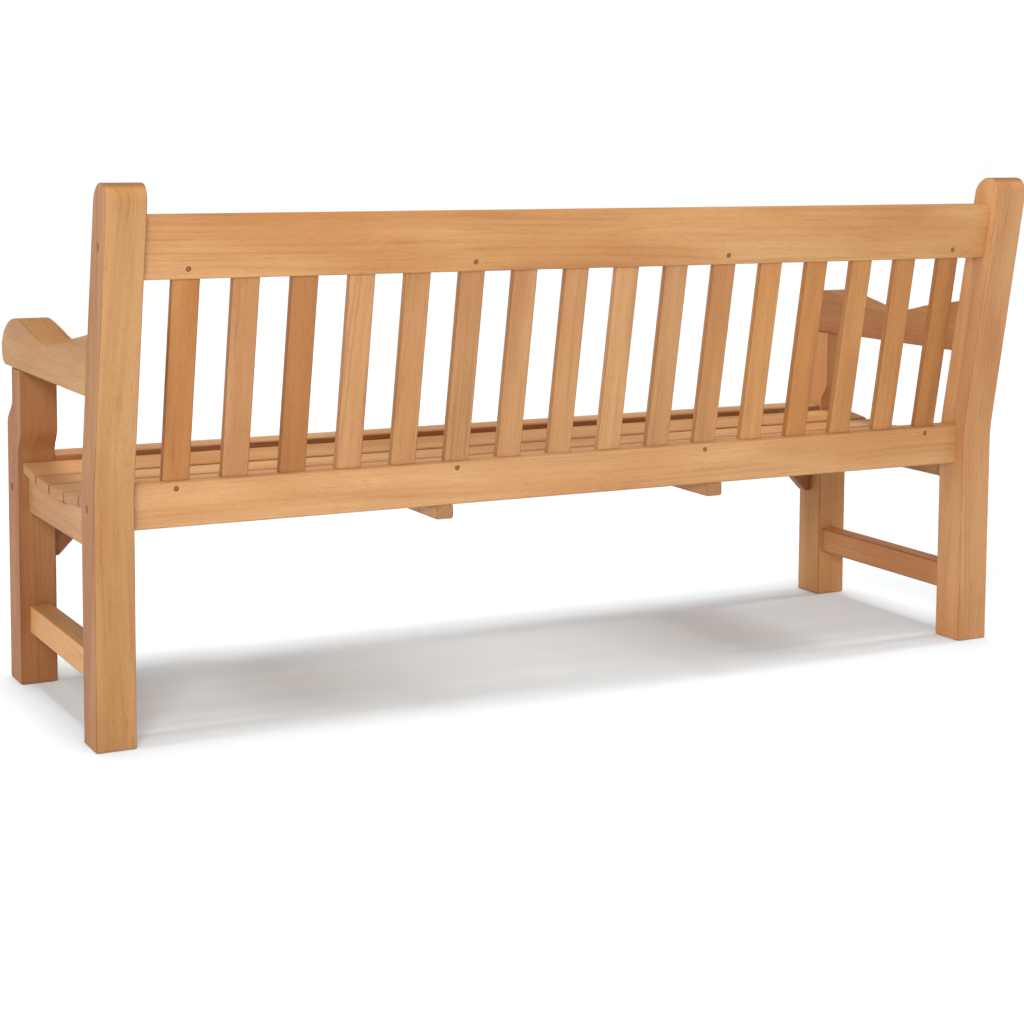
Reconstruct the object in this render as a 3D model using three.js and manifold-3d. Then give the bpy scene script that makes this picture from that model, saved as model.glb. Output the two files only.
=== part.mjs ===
// Garden bench in hardwood: two glued end frames, three bolted long rails, a slatted back and a dished seat.
// Millimetres. +Z is up, +X is the sitter's left, the bench faces -Y.
// While the pieces are drawn, y = 0 is the back face of a rear leg at the floor. At the end the whole bench
// is moved so that the origin is on the floor under its middle.
import * as THREE from "three";
import { mergeVertices } from "three/addons/utils/BufferGeometryUtils.js";
import Module from "manifold-3d";

// ---- driving dimensions -------------------------------------------------------------------------------
const benchLength = 1800; // over the outside of the legs
const fit = 0.3; // air between two pieces that touch or plug together
const ease = 2; // small chamfer on the edges of legs, arms and rails

const legWidth = 66.5;
const rearLegDepth = 71;
const rearLegCrankFront = 425; // height where the front of the rear leg starts to lean back
const rearLegCrankBack = 415;
const rearLegLeanFront = 0.1897; // backwards travel per millimetre of height
const rearLegLeanBack = 0.18;
const rearLegArchStart = 880;
const rearLegTop = 911;

const frontLegFront = -547;
const frontLegBack = -472;
const frontLegNeckFront = -511; // the slimmer upper part under the arm
const frontLegNeckBack = -452;
const frontOgee = { from: 466, to: 512 };
const backOgee = { from: 418, to: 464 };

const armUnderside = 570;
const armWidth = 60;
const armRearTop = 670;
const armNose = { front: -580, round: 24, shoulder: 612 };
// the top of the arm from the rear leg forwards: y, z
const armTop = [
  [-82, 662.8],
  [-132, 653.5],
  [-190, 640.5],
  [-262, 631.8],
  [-325, 634],
  [-385, 645],
  [-440, 655],
  [-484, 658.8],
  [-527, 650.5],
  [-559, 633.5],
  [armNose.front + 3, armNose.shoulder],
];

const backLean = 0.187; // slats and top rail
const slatPlaneAt700 = 19; // y of the middle of a back slat at height 700
const backSlat = { count: 16, pitch: 100.9, width: 47, thickness: 12, housed: 15 };

const topRail = { low: 761, high: 861, thickness: 30, round: 9 };
const lowRail = { low: 351, high: 428, back: -22, thickness: 34 };
const frontRail = { low: 313, high: 392.7, back: -503, thickness: 31 };
const stubTenon = { length: 14, thickness: 20 };

const sideRail = { low: 313.5, outerInset: 18, thickness: 30, tenon: 28, tenonThickness: 12 };
const stretcher = { low: 93, high: 143, outerInset: 18, thickness: 40, tenon: 28, tenonThickness: 14 };

const seatThickness = 19;
const seatOverhang = 10; // past the outer face of the side rail
// front edge, rear edge, top height at each: the seat dips in the middle
const seatSlats = [
  { front: -547, rear: -479, topFront: 412, topRear: 412 },
  { front: -470, rear: -391, topFront: 403, topRear: 393 },
  { front: -382, rear: -303, topFront: 391, topRear: 389.5 },
  { front: -294, rear: -212, topFront: 389, topRear: 390.5 },
  { front: -202, rear: -122, topFront: 392.5, topRear: 399 },
  { front: -113, rear: -76, topFront: 401.5, topRear: 405 },
];
const dishRelief = 5; // the rails are hollowed this far below the lowest slat

const bearer = { offset: 275, thickness: 34, low: 326, end: -24, ease: 3, tenon: 14, tenonHigh: 34 };
const bracket = { leg: 90, rail: 102, blunt: 15, hollow: 4, thickness: 24, middle: -518 };

const bolt = { radius: 4, headRadius: 6.2, headLength: 7, recess: 9, recessRadius: 6.8, reach: 46, key: 3 };
const barrelNut = { radius: 5, length: 19, fromShoulder: 38, slotLength: 8, slotWidth: 1.6, slotDepth: 1.2 };
const pin = { radius: 4, length: 22, edge: 13.5, slats: [0, 5, 10, 15] };

// ---- finishes -----------------------------------------------------------------------------------------
const WOOD = { color: 0xc8925a, roughness: 0.62, metalness: 0 };
const WOOD_DARK = { color: 0xa9713f, roughness: 0.6, metalness: 0 };
const STEEL = { color: 0x8d8f91, roughness: 0.38, metalness: 1 };

// ---- solid modelling helpers --------------------------------------------------------------------------
const wasm = await Module();
wasm.setup();

function solidOf(geometry) {
  const bare = geometry.clone();
  bare.deleteAttribute("normal");
  bare.deleteAttribute("uv");
  const welded = mergeVertices(bare, 1e-4);
  return new wasm.Manifold(
    new wasm.Mesh({
      numProp: 3,
      vertProperties: new Float32Array(welded.attributes.position.array),
      triVerts: new Uint32Array(welded.index.array),
    }),
  );
}

function geometryOf(solid) {
  const mesh = solid.getMesh();
  const geometry = new THREE.BufferGeometry();
  geometry.setAttribute("position", new THREE.BufferAttribute(new Float32Array(mesh.vertProperties), 3));
  geometry.setIndex(new THREE.BufferAttribute(new Uint32Array(mesh.triVerts), 1));
  return geometry;
}

function join(first, ...others) {
  return others.reduce((sum, other) => sum.add(other), first);
}

function cut(body, ...tools) {
  return tools.reduce((rest, tool) => rest.subtract(tool), body);
}

function block(x0, x1, y0, y1, z0, z1) {
  const geometry = new THREE.BoxGeometry(x1 - x0, y1 - y0, z1 - z0);
  geometry.translate((x0 + x1) / 2, (y0 + y1) / 2, (z0 + z1) / 2);
  return solidOf(geometry);
}

// outline: [y, z] pairs, drawn out along x; chamfer eases both end edges
function alongX(outline, x0, x1, chamfer = 0) {
  const shape = new THREE.Shape(outline.map(([y, z]) => new THREE.Vector2(y, z)));
  const geometry = new THREE.ExtrudeGeometry(shape, {
    depth: x1 - x0 - 2 * chamfer,
    bevelEnabled: chamfer > 0,
    bevelThickness: chamfer,
    bevelSize: chamfer,
    bevelOffset: -chamfer,
    bevelSegments: 1,
    steps: 1,
  });
  const turn = new THREE.Matrix4().makeBasis(
    new THREE.Vector3(0, 1, 0),
    new THREE.Vector3(0, 0, 1),
    new THREE.Vector3(1, 0, 0),
  );
  geometry.applyMatrix4(turn);
  geometry.translate(x0 + chamfer, 0, 0);
  return solidOf(geometry);
}

// outline: [x, z] pairs, drawn out along y
function alongY(outline, y0, y1) {
  const shape = new THREE.Shape(outline.map(([x, z]) => new THREE.Vector2(x, z)));
  const geometry = new THREE.ExtrudeGeometry(shape, { depth: y1 - y0, bevelEnabled: false, steps: 1 });
  const turn = new THREE.Matrix4().makeBasis(
    new THREE.Vector3(1, 0, 0),
    new THREE.Vector3(0, 0, 1),
    new THREE.Vector3(0, -1, 0),
  );
  geometry.applyMatrix4(turn);
  geometry.translate(0, y1, 0);
  return solidOf(geometry);
}

function rodX(x0, x1, y, z, radius, sides = 20) {
  const geometry = new THREE.CylinderGeometry(radius, radius, Math.abs(x1 - x0), sides);
  geometry.rotateZ(Math.PI / 2);
  geometry.translate((x0 + x1) / 2, y, z);
  return solidOf(geometry);
}

function rodY(x, y0, y1, z, radius, sides = 20) {
  const geometry = new THREE.CylinderGeometry(radius, radius, y1 - y0, sides);
  geometry.translate(x, (y0 + y1) / 2, z);
  return solidOf(geometry);
}

// rectangle in the y-z plane with rounded corners
// radii: low front, low back, high back, high front
function roundedSection(y0, y1, z0, z1, radii, steps = 3) {
  const corners = [
    { y: y0, z: z0, sy: 1, sz: 1, start: Math.PI },
    { y: y1, z: z0, sy: -1, sz: 1, start: 1.5 * Math.PI },
    { y: y1, z: z1, sy: -1, sz: -1, start: 0 },
    { y: y0, z: z1, sy: 1, sz: -1, start: 0.5 * Math.PI },
  ];
  return corners.flatMap((corner, i) => {
    const r = radii[i];
    if (r === 0) return [[corner.y, corner.z]];
    const centre = [corner.y + corner.sy * r, corner.z + corner.sz * r];
    return Array.from({ length: steps + 1 }, (_, k) => {
      const angle = corner.start + (k / steps) * (Math.PI / 2);
      return [centre[0] + r * Math.cos(angle), centre[1] + r * Math.sin(angle)];
    });
  });
}

function leanPoint([y, z], pivotY, pivotZ, slope) {
  const angle = Math.atan(slope);
  const dy = y - pivotY;
  const dz = z - pivotZ;
  return [
    pivotY + dy * Math.cos(angle) + dz * Math.sin(angle),
    pivotZ - dy * Math.sin(angle) + dz * Math.cos(angle),
  ];
}

// smooth S from [y0, z0] to [y1, z1], leaving and arriving straight up
function ogee(y0, z0, y1, z1, steps = 8) {
  return Array.from({ length: steps + 1 }, (_, k) => {
    const t = k / steps;
    return [y0 + (y1 - y0) * (0.5 - 0.5 * Math.cos(Math.PI * t)), z0 + (z1 - z0) * t];
  });
}

// ---- shared positions ---------------------------------------------------------------------------------
const half = benchLength / 2;
const legInner = half - legWidth;
const sideOuter = half - sideRail.outerInset;
const sideInner = sideOuter - sideRail.thickness;
const armInner = half - armWidth;
const rearFront = -rearLegDepth;

const slatMiddle = (z) => slatPlaneAt700 + (z - 700) * backLean;
const rearLegFrontAt = (z) => rearFront + Math.max(0, z - rearLegCrankFront) * rearLegLeanFront;
const topMiddle = (topRail.low + topRail.high) / 2;

// where each bolt runs, on the middle of its rail
const boltLines = {
  top: { y: slatMiddle(topMiddle), z: topMiddle },
  low: { y: lowRail.back - lowRail.thickness / 2, z: (lowRail.low + lowRail.high) / 2 },
  front: { y: frontRail.back - frontRail.thickness / 2, z: (frontRail.low + frontRail.high) / 2 },
};

// underside of the seat slats; the rails follow it and are hollowed under the lowest slat
function seatSupport(from, to) {
  const points = seatSlats.flatMap((slat) => {
    const ends = [
      [slat.front, slat.topFront - seatThickness - fit],
      [slat.rear, slat.topRear - seatThickness - fit],
    ];
    if (slat !== seatSlats[3]) return ends;
    const middle = (slat.front + slat.rear) / 2;
    return [
      ends[0],
      [ends[0][0] + 14, ends[0][1] - dishRelief * 0.7],
      [middle, (ends[0][1] + ends[1][1]) / 2 - dishRelief],
      [ends[1][0] - 14, ends[1][1] - dishRelief * 0.7],
      ends[1],
    ];
  });
  const heightAt = (y) => {
    if (y <= points[0][0]) return points[0][1];
    const next = points.findIndex(([py]) => py >= y);
    if (next < 0) return points[points.length - 1][1];
    const [ya, za] = points[next - 1];
    const [yb, zb] = points[next];
    return za + ((zb - za) * (y - ya)) / (yb - ya);
  };
  const inside = points.filter(([y]) => y > from && y < to);
  return [[from, heightAt(from)], ...inside, [to, heightAt(to)]];
}

// a box on the +x side is mirrored for the right-hand end
function mirrored(solid) {
  return solid.mirror([1, 0, 0]);
}

// ---- legs ---------------------------------------------------------------------------------------------
function rearLegOutline() {
  const archFront = rearLegFrontAt(rearLegArchStart);
  const archBack = (rearLegArchStart - rearLegCrankBack) * rearLegLeanBack;
  const middle = (archFront + archBack) / 2;
  const reach = (archBack - archFront) / 2;
  const rise = rearLegTop - rearLegArchStart;
  const steps = 14;
  const arch = Array.from({ length: steps + 1 }, (_, k) => {
    const angle = (k / steps) * Math.PI;
    const up = rise * Math.sin(angle);
    return [middle + reach * Math.cos(angle) + rearLegLeanBack * up, rearLegArchStart + up];
  });
  return [
    [rearFront, 0],
    [0, 0],
    [0, rearLegCrankBack - 22],
    [1, rearLegCrankBack],
    [22 * rearLegLeanBack, rearLegCrankBack + 22],
    ...arch,
    [rearFront + 22 * rearLegLeanFront, rearLegCrankFront + 22],
    [rearFront + 1, rearLegCrankFront],
    [rearFront, rearLegCrankFront - 22],
  ];
}

// tenons that the leg receives, each grown by the fit all round
function railSocket(line, height, lean) {
  const outline = [
    [line.y - stubTenon.thickness / 2 - fit, line.z - height / 2 - fit],
    [line.y + stubTenon.thickness / 2 + fit, line.z - height / 2 - fit],
    [line.y + stubTenon.thickness / 2 + fit, line.z + height / 2 + fit],
    [line.y - stubTenon.thickness / 2 - fit, line.z + height / 2 + fit],
  ].map((point) => leanPoint(point, line.y, line.z, lean));
  return alongX(outline, legInner - 1, legInner + stubTenon.length + fit);
}

function boltPassage(line) {
  return join(
    rodX(legInner - 1, half + 1, line.y, line.z, bolt.radius + fit),
    rodX(half - bolt.recess - bolt.headLength - fit, half + 1, line.y, line.z, bolt.recessRadius),
  );
}

const tenonHeight = { top: 62, low: 46, front: 46 };
const sideTenon = { low: sideRail.low + 8, high: 362 };
const stretcherTenon = { low: stretcher.low + 8, high: stretcher.high - 8 };
const armTenon = { low: armUnderside + 14, high: armRearTop - 24, thickness: 16, length: 22 };
const legTopTenon = { x: 34, y: 30, height: 28 };

function railTenonBox(rail, tenon, y0, y1, grow) {
  const middle = half - rail.outerInset - rail.thickness / 2;
  return block(
    middle - rail.tenonThickness / 2 - grow,
    middle + rail.tenonThickness / 2 + grow,
    y0,
    y1,
    tenon.low - grow,
    tenon.high + grow,
  );
}

function armTenonSolid(grow) {
  const middle = half - armWidth / 2;
  const deep = rearLegFrontAt(armTenon.low) + armTenon.length + grow;
  return block(
    middle - armTenon.thickness / 2 - grow,
    middle + armTenon.thickness / 2 + grow,
    rearLegFrontAt(armTenon.low) - 10,
    deep,
    armTenon.low - grow,
    armTenon.high + grow,
  );
}

function rearLeg() {
  const body = alongX(rearLegOutline(), legInner, half, ease);
  return cut(
    body,
    railSocket(boltLines.top, tenonHeight.top, backLean),
    railSocket(boltLines.low, tenonHeight.low, 0),
    boltPassage(boltLines.top),
    boltPassage(boltLines.low),
    railTenonBox(sideRail, sideTenon, rearFront - 1, rearFront + sideRail.tenon + fit, fit),
    railTenonBox(stretcher, stretcherTenon, rearFront - 1, rearFront + stretcher.tenon + fit, fit),
    armTenonSolid(fit),
  );
}

function frontLegOutline() {
  return [
    [frontLegFront, 0],
    [frontLegBack, 0],
    ...ogee(frontLegBack, backOgee.from, frontLegNeckBack, backOgee.to),
    [frontLegNeckBack, armUnderside - fit],
    [frontLegNeckFront, armUnderside - fit],
    ...ogee(frontLegFront, frontOgee.from, frontLegNeckFront, frontOgee.to).reverse(),
  ];
}

function legTopTenonSolid(grow) {
  const x = half - armWidth / 2;
  const y = (frontLegNeckFront + frontLegNeckBack) / 2;
  return block(
    x - legTopTenon.x / 2 - grow,
    x + legTopTenon.x / 2 + grow,
    y - legTopTenon.y / 2 - grow,
    y + legTopTenon.y / 2 + grow,
    armUnderside - 5,
    armUnderside + legTopTenon.height + grow,
  );
}

function frontLeg() {
  const body = join(alongX(frontLegOutline(), legInner, half, ease), legTopTenonSolid(0));
  return cut(
    body,
    railSocket(boltLines.front, tenonHeight.front, 0),
    boltPassage(boltLines.front),
    railTenonBox(sideRail, sideTenon, frontLegBack - sideRail.tenon - fit, frontLegBack + 1, fit),
    railTenonBox(stretcher, stretcherTenon, frontLegBack - stretcher.tenon - fit, frontLegBack + 1, fit),
  );
}

// ---- arms ---------------------------------------------------------------------------------------------
// side outline of the armrest: flat below, rounded nose, raised scroll, dip, and a rise to the rear leg
function armOutline() {
  const rear = (z) => rearLegFrontAt(z) - fit;
  const shape = new THREE.Shape();
  shape.moveTo(armNose.front + armNose.round, armUnderside);
  shape.lineTo(rear(armUnderside), armUnderside);
  shape.lineTo(rear(armRearTop), armRearTop);
  shape.splineThru(armTop.map(([y, z]) => new THREE.Vector2(y, z)));
  shape.bezierCurveTo(
    armNose.front - 0.5,
    armNose.shoulder - 9,
    armNose.front,
    armUnderside,
    armNose.front + armNose.round,
    armUnderside,
  );
  return shape.getPoints(3).slice(0, -1).map((point) => [point.x, point.y]);
}

function arm() {
  const body = join(alongX(armOutline(), armInner, half, ease), armTenonSolid(0));
  return cut(body, legTopTenonSolid(fit));
}

// ---- end-frame rails ----------------------------------------------------------------------------------
function sideSeatRail() {
  const front = frontLegBack + fit;
  const rear = rearFront - fit;
  const outline = [[front, sideRail.low], [rear, sideRail.low], ...seatSupport(front, rear).reverse()];
  return join(
    alongX(outline, sideInner, sideOuter),
    railTenonBox(sideRail, sideTenon, frontLegBack - sideRail.tenon, front + 5, 0),
    railTenonBox(sideRail, sideTenon, rear - 5, rearFront + sideRail.tenon, 0),
  );
}

function endStretcher() {
  const front = frontLegBack + fit;
  const rear = rearFront - fit;
  const outer = half - stretcher.outerInset;
  const section = [
    [outer - stretcher.thickness + ease, stretcher.low],
    [outer - ease, stretcher.low],
    [outer, stretcher.low + ease],
    [outer, stretcher.high - ease],
    [outer - ease, stretcher.high],
    [outer - stretcher.thickness + ease, stretcher.high],
    [outer - stretcher.thickness, stretcher.high - ease],
    [outer - stretcher.thickness, stretcher.low + ease],
  ];
  return join(
    alongY(section, front, rear),
    railTenonBox(stretcher, stretcherTenon, frontLegBack - stretcher.tenon, front + 5, 0),
    railTenonBox(stretcher, stretcherTenon, rear - 5, rearFront + stretcher.tenon, 0),
  );
}

// ---- long rails ---------------------------------------------------------------------------------------
const shoulder = legInner - fit;

function endWork(line, height, lean, nutFrom, nutTo) {
  const outline = [
    [line.y - stubTenon.thickness / 2, line.z - height / 2],
    [line.y + stubTenon.thickness / 2, line.z - height / 2],
    [line.y + stubTenon.thickness / 2, line.z + height / 2],
    [line.y - stubTenon.thickness / 2, line.z + height / 2],
  ].map((point) => leanPoint(point, line.y, line.z, lean));
  const tenon = alongX(outline, shoulder - 5, legInner + stubTenon.length);
  const boreEnd = legInner + stubTenon.length + 1;
  const bore = rodX(shoulder - bolt.reach - 4, boreEnd, line.y, line.z, bolt.radius + fit);
  const nut = rodY(shoulder - barrelNut.fromShoulder, nutFrom, nutTo, line.z, barrelNut.radius + fit);
  return { tenon, bore, nut };
}

function railWithEnds(body, work) {
  return cut(
    join(body, work.tenon, mirrored(work.tenon)),
    work.bore,
    mirrored(work.bore),
    work.nut,
    mirrored(work.nut),
  );
}

function slatCentres() {
  const first = ((backSlat.count - 1) / 2) * backSlat.pitch;
  return Array.from({ length: backSlat.count }, (_, i) => first - i * backSlat.pitch);
}

// a back slat as a leaning board, grown all round for the slots it stands in
function slatBoard(x, grow, endGrow) {
  const low = lowRail.high - backSlat.housed - endGrow;
  const high = topRail.low + backSlat.housed + endGrow;
  const r = grow > 0 ? 0 : 2.5;
  const w = backSlat.width / 2 + grow;
  const t = backSlat.thickness / 2 + grow;
  const section = [
    [-w + r, -t], [w - r, -t], [w, -t + r], [w, t - r], [w - r, t], [-w + r, t], [-w, t - r], [-w, -t + r],
  ];
  const corners = r === 0 ? [[-w, -t], [w, -t], [w, t], [-w, t]] : section;
  const shape = new THREE.Shape(corners.map(([a, b]) => new THREE.Vector2(a, b)));
  const geometry = new THREE.ExtrudeGeometry(shape, { depth: high - low, bevelEnabled: false, steps: 1 });
  const leaning = new THREE.Matrix4().makeShear(0, 0, 0, 0, 0, backLean);
  leaning.setPosition(x, slatMiddle(low), low);
  geometry.applyMatrix4(leaning);
  return solidOf(geometry);
}

const pinHeights = { top: topRail.low + pin.edge, low: lowRail.high - pin.edge };
const pinBacks = {
  top: slatMiddle(pinHeights.top) + topRail.thickness / 2 / Math.cos(Math.atan(backLean)),
  low: lowRail.back,
};

function pinHole(x, level, grow) {
  const back = pinBacks[level] + (grow > 0 ? 3 : -0.5);
  return rodY(x, pinBacks[level] - 0.5 - pin.length - grow, back, pinHeights[level], pin.radius + grow, 16);
}

function backTopRail() {
  const halfThick = topRail.thickness / 2;
  const line = boltLines.top;
  const slantHeight = (topRail.high - topRail.low) / Math.cos(Math.atan(backLean));
  const section = roundedSection(
    line.y - halfThick,
    line.y + halfThick,
    line.z - slantHeight / 2,
    line.z + slantHeight / 2,
    [3, 3, topRail.round, topRail.round],
    4,
  ).map((point) => leanPoint(point, line.y, line.z, backLean));
  const work = endWork(line, tenonHeight.top, backLean, line.y - 40, line.y + barrelNut.length / 2 + fit);
  const centres = slatCentres();
  return cut(
    railWithEnds(alongX(section, -shoulder, shoulder), work),
    ...centres.map((x) => slatBoard(x, fit, fit)),
    ...pin.slats.map((i) => pinHole(centres[i], "top", fit)),
  );
}

function backBottomRail() {
  const section = roundedSection(
    lowRail.back - lowRail.thickness,
    lowRail.back,
    lowRail.low,
    lowRail.high,
    [2, 3, 4, 3],
    2,
  );
  const line = boltLines.low;
  const work = endWork(line, tenonHeight.low, 0, line.y - 40, line.y + barrelNut.length / 2 + fit);
  const centres = slatCentres();
  return cut(
    railWithEnds(alongX(section, -shoulder, shoulder), work),
    ...centres.map((x) => slatBoard(x, fit, fit)),
    ...pin.slats.map((i) => pinHole(centres[i], "low", fit)),
  );
}

function bearerTenon(x, grow) {
  const z = bearer.low + 8;
  return block(
    x - 8 - grow,
    x + 8 + grow,
    frontRail.back - bearer.tenon - grow,
    frontRail.back + 6,
    z - grow,
    z + bearer.tenonHigh + grow,
  );
}

function frontSeatRail() {
  const section = roundedSection(
    frontRail.back - frontRail.thickness,
    frontRail.back,
    frontRail.low,
    frontRail.high,
    [3, 2, 1, 1],
    2,
  );
  const line = boltLines.front;
  const work = endWork(line, tenonHeight.front, 0, line.y - barrelNut.length / 2 - fit, line.y + 40);
  return cut(
    railWithEnds(alongX(section, -shoulder, shoulder), work),
    bearerTenon(bearer.offset, fit),
    bearerTenon(-bearer.offset, fit),
  );
}

// ---- seat ---------------------------------------------------------------------------------------------
function seatBearer(x) {
  const front = frontRail.back + fit;
  const railFront = lowRail.back - lowRail.thickness - fit;
  const notchTop = lowRail.low - fit;
  const outline = [
    [front, bearer.low],
    [bearer.end, bearer.low],
    [bearer.end, notchTop],
    [railFront, notchTop],
    ...seatSupport(front, railFront).reverse(),
  ];
  const body = alongX(outline, x - bearer.thickness / 2, x + bearer.thickness / 2, bearer.ease);
  return join(body, bearerTenon(x, 0));
}

function seatSlat(slat, reach) {
  const slope = (slat.topRear - slat.topFront) / (slat.rear - slat.front);
  const width = slat.rear - slat.front;
  const nose = slat === seatSlats[0] ? 8 : 4;
  const section = roundedSection(0, width, -seatThickness, 0, [2, 2, 4, nose], 3).map(([y, z]) => [
    slat.front + y,
    slat.topFront + y * slope + z,
  ]);
  return alongX(section, -reach, reach);
}

// a brace with blunt ends and a slightly hollow long edge, in the corner of the front leg and front rail
function cornerBracket() {
  const x0 = legInner - fit;
  const z0 = frontRail.low - fit;
  const low = [x0 - bracket.blunt, z0 - bracket.leg + 1];
  const high = [x0 - bracket.rail + 1, z0 - bracket.blunt];
  const steps = 8;
  const hollow = Array.from({ length: steps + 1 }, (_, k) => {
    const t = k / steps;
    const inwards = (bracket.hollow * Math.sin(Math.PI * t)) / Math.SQRT2;
    return [low[0] + (high[0] - low[0]) * t + inwards, low[1] + (high[1] - low[1]) * t + inwards];
  });
  const outline = [[x0, z0 - bracket.leg], [x0, z0], [x0 - bracket.rail, z0], ...hollow.reverse()];
  return alongY(outline, bracket.middle - bracket.thickness / 2, bracket.middle + bracket.thickness / 2);
}

// ---- fixings ------------------------------------------------------------------------------------------
function endBolt(line) {
  const headOuter = half - bolt.recess;
  const head = rodX(headOuter - bolt.headLength, headOuter, line.y, line.z, bolt.headRadius);
  const key = rodX(headOuter - 4, headOuter + 1, line.y, line.z, bolt.key, 6);
  const shank = rodX(shoulder - bolt.reach, headOuter - 2, line.y, line.z, bolt.radius);
  return cut(join(head, shank), key);
}

function crossNut(line, towards) {
  const x = shoulder - barrelNut.fromShoulder;
  const reach = barrelNut.length / 2;
  const body = rodY(x, line.y - reach, line.y + reach, line.z, barrelNut.radius);
  const thread = rodX(x - 10, x + 10, line.y, line.z, bolt.radius + fit);
  const slotSide = line.y + towards * reach;
  const slot = block(
    x - barrelNut.slotLength / 2,
    x + barrelNut.slotLength / 2,
    slotSide - barrelNut.slotDepth,
    slotSide + barrelNut.slotDepth,
    line.z - barrelNut.slotWidth / 2,
    line.z + barrelNut.slotWidth / 2,
  );
  return cut(body, thread, slot);
}

// ---- assembly -----------------------------------------------------------------------------------------
const assemblies = {};

function assembly(name) {
  if (!assemblies[name]) {
    assemblies[name] = new THREE.Group();
    assemblies[name].name = name;
  }
  return assemblies[name];
}

// each piece is drawn in place, then its geometry is centred and the mesh carries the place
function add(owner, name, solid, finish) {
  const geometry = geometryOf(solid).toNonIndexed();
  geometry.computeVertexNormals();
  geometry.computeBoundingBox();
  const place = geometry.boundingBox.getCenter(new THREE.Vector3());
  geometry.translate(-place.x, -place.y, -place.z);
  const mesh = new THREE.Mesh(geometry, new THREE.MeshStandardMaterial(finish));
  mesh.name = name;
  mesh.position.copy(place);
  assembly(owner).add(mesh);
}

function addPair(owner, name, solid, finish) {
  add(owner.left ?? owner, `${name}_left`, solid, finish);
  add(owner.right ?? owner, `${name}_right`, mirrored(solid), finish);
}

const endFrames = { left: "end_frame_left", right: "end_frame_right" };
const twoDigits = (i) => String(i + 1).padStart(2, "0");

addPair(endFrames, "rear_leg", rearLeg(), WOOD);
addPair(endFrames, "front_leg", frontLeg(), WOOD);
addPair(endFrames, "arm", arm(), WOOD);
addPair(endFrames, "side_seat_rail", sideSeatRail(), WOOD);
addPair(endFrames, "end_stretcher", endStretcher(), WOOD);

add("back", "back_top_rail", backTopRail(), WOOD);
add("back", "back_bottom_rail", backBottomRail(), WOOD);
slatCentres().forEach((x, i) => {
  const holes = ["top", "low"].map((level) => pinHole(x, level, fit));
  const board = slatBoard(x, 0, 0);
  add("back", `back_slat_${twoDigits(i)}`, pin.slats.includes(i) ? cut(board, ...holes) : board, WOOD);
});
for (const i of pin.slats) {
  for (const level of ["top", "low"]) {
    add("back", `slat_pin_${level}_${twoDigits(i)}`, pinHole(slatCentres()[i], level, 0), WOOD_DARK);
  }
}

add("seat", "front_seat_rail", frontSeatRail(), WOOD);
addPair("seat", "seat_bearer", seatBearer(bearer.offset), WOOD);
addPair("seat", "corner_bracket", cornerBracket(), WOOD);
seatSlats.forEach((slat, i) => {
  const reach = i === 0 ? legInner - 1 : sideOuter + seatOverhang;
  add("seat", `seat_slat_${i + 1}`, seatSlat(slat, reach), WOOD);
});

for (const [level, line] of Object.entries(boltLines)) {
  addPair("fixings", `bolt_${level}`, endBolt(line), STEEL);
  addPair("fixings", `barrel_nut_${level}`, crossNut(line, level === "front" ? 1 : -1), STEEL);
}

const bench = new THREE.Group();
bench.name = "bench";
bench.add(...Object.values(assemblies));
bench.updateMatrixWorld(true);
const whole = new THREE.Box3().setFromObject(bench);
const middle = whole.getCenter(new THREE.Vector3());
bench.position.set(-middle.x, -middle.y, -whole.min.z);

const group = new THREE.Group();
group.name = "garden_bench";
group.add(bench);

export default group;
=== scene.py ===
"""Looks of a garden bench in sanded teak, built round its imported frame.

Metres, +Z up. The bench faces -Y and +X is the sitter's left. The end frames, back, seat and fixings are
each a class that models its pieces over the frame's nodes and dresses them.
"""
import logging
import math
import random
from dataclasses import dataclass, field
from enum import Enum
from typing import Callable, Iterable, Sequence

import bmesh
import bpy
from mathutils import Matrix, Vector


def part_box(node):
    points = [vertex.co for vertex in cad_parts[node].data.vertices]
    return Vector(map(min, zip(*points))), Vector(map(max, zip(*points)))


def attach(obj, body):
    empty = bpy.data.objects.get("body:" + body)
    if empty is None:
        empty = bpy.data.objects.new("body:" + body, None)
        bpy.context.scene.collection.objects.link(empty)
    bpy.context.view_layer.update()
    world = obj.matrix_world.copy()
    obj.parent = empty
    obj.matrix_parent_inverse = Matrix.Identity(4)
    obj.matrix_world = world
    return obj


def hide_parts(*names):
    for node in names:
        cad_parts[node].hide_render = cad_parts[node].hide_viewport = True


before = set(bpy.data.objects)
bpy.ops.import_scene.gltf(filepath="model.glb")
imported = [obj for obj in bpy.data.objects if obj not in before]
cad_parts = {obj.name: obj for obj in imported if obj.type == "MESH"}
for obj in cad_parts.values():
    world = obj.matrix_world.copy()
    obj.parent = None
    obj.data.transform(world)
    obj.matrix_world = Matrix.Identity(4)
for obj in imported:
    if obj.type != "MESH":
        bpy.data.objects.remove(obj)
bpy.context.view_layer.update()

logging.basicConfig(level=logging.INFO, format="%(name)s: %(message)s")
log = logging.getLogger("garden_bench")

BODY = "root"
# How near two points count as the same, and the clearance left at a fitted joint.
NEAR = 1e-5
FIT = 0.0003
# The narrowest strip that a row of cut edges leaves at the end of a board.
ROW_GAP = 0.002
# How far a cutter stands out of the face that it cuts.
CUTTER_PROUD = 0.01
# Angles in degrees: past the first an edge shades sharp, past the others it is eased.
SHADE_SHARP = 35.0
CORNER = 32.0
SQUARE_CORNER = 50.0
# How straight an edge or face must lie along an axis to count as running along it.
STRAIGHT = 0.99

Test = Callable[[Vector, Vector], bool]
Feed = bpy.types.NodeSocket | float | Sequence[float]


class Kind(Enum):
    """What a selection in edit mode is made of."""

    POINTS = "VERT"
    EDGES = "EDGE"
    FACES = "FACE"


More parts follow.
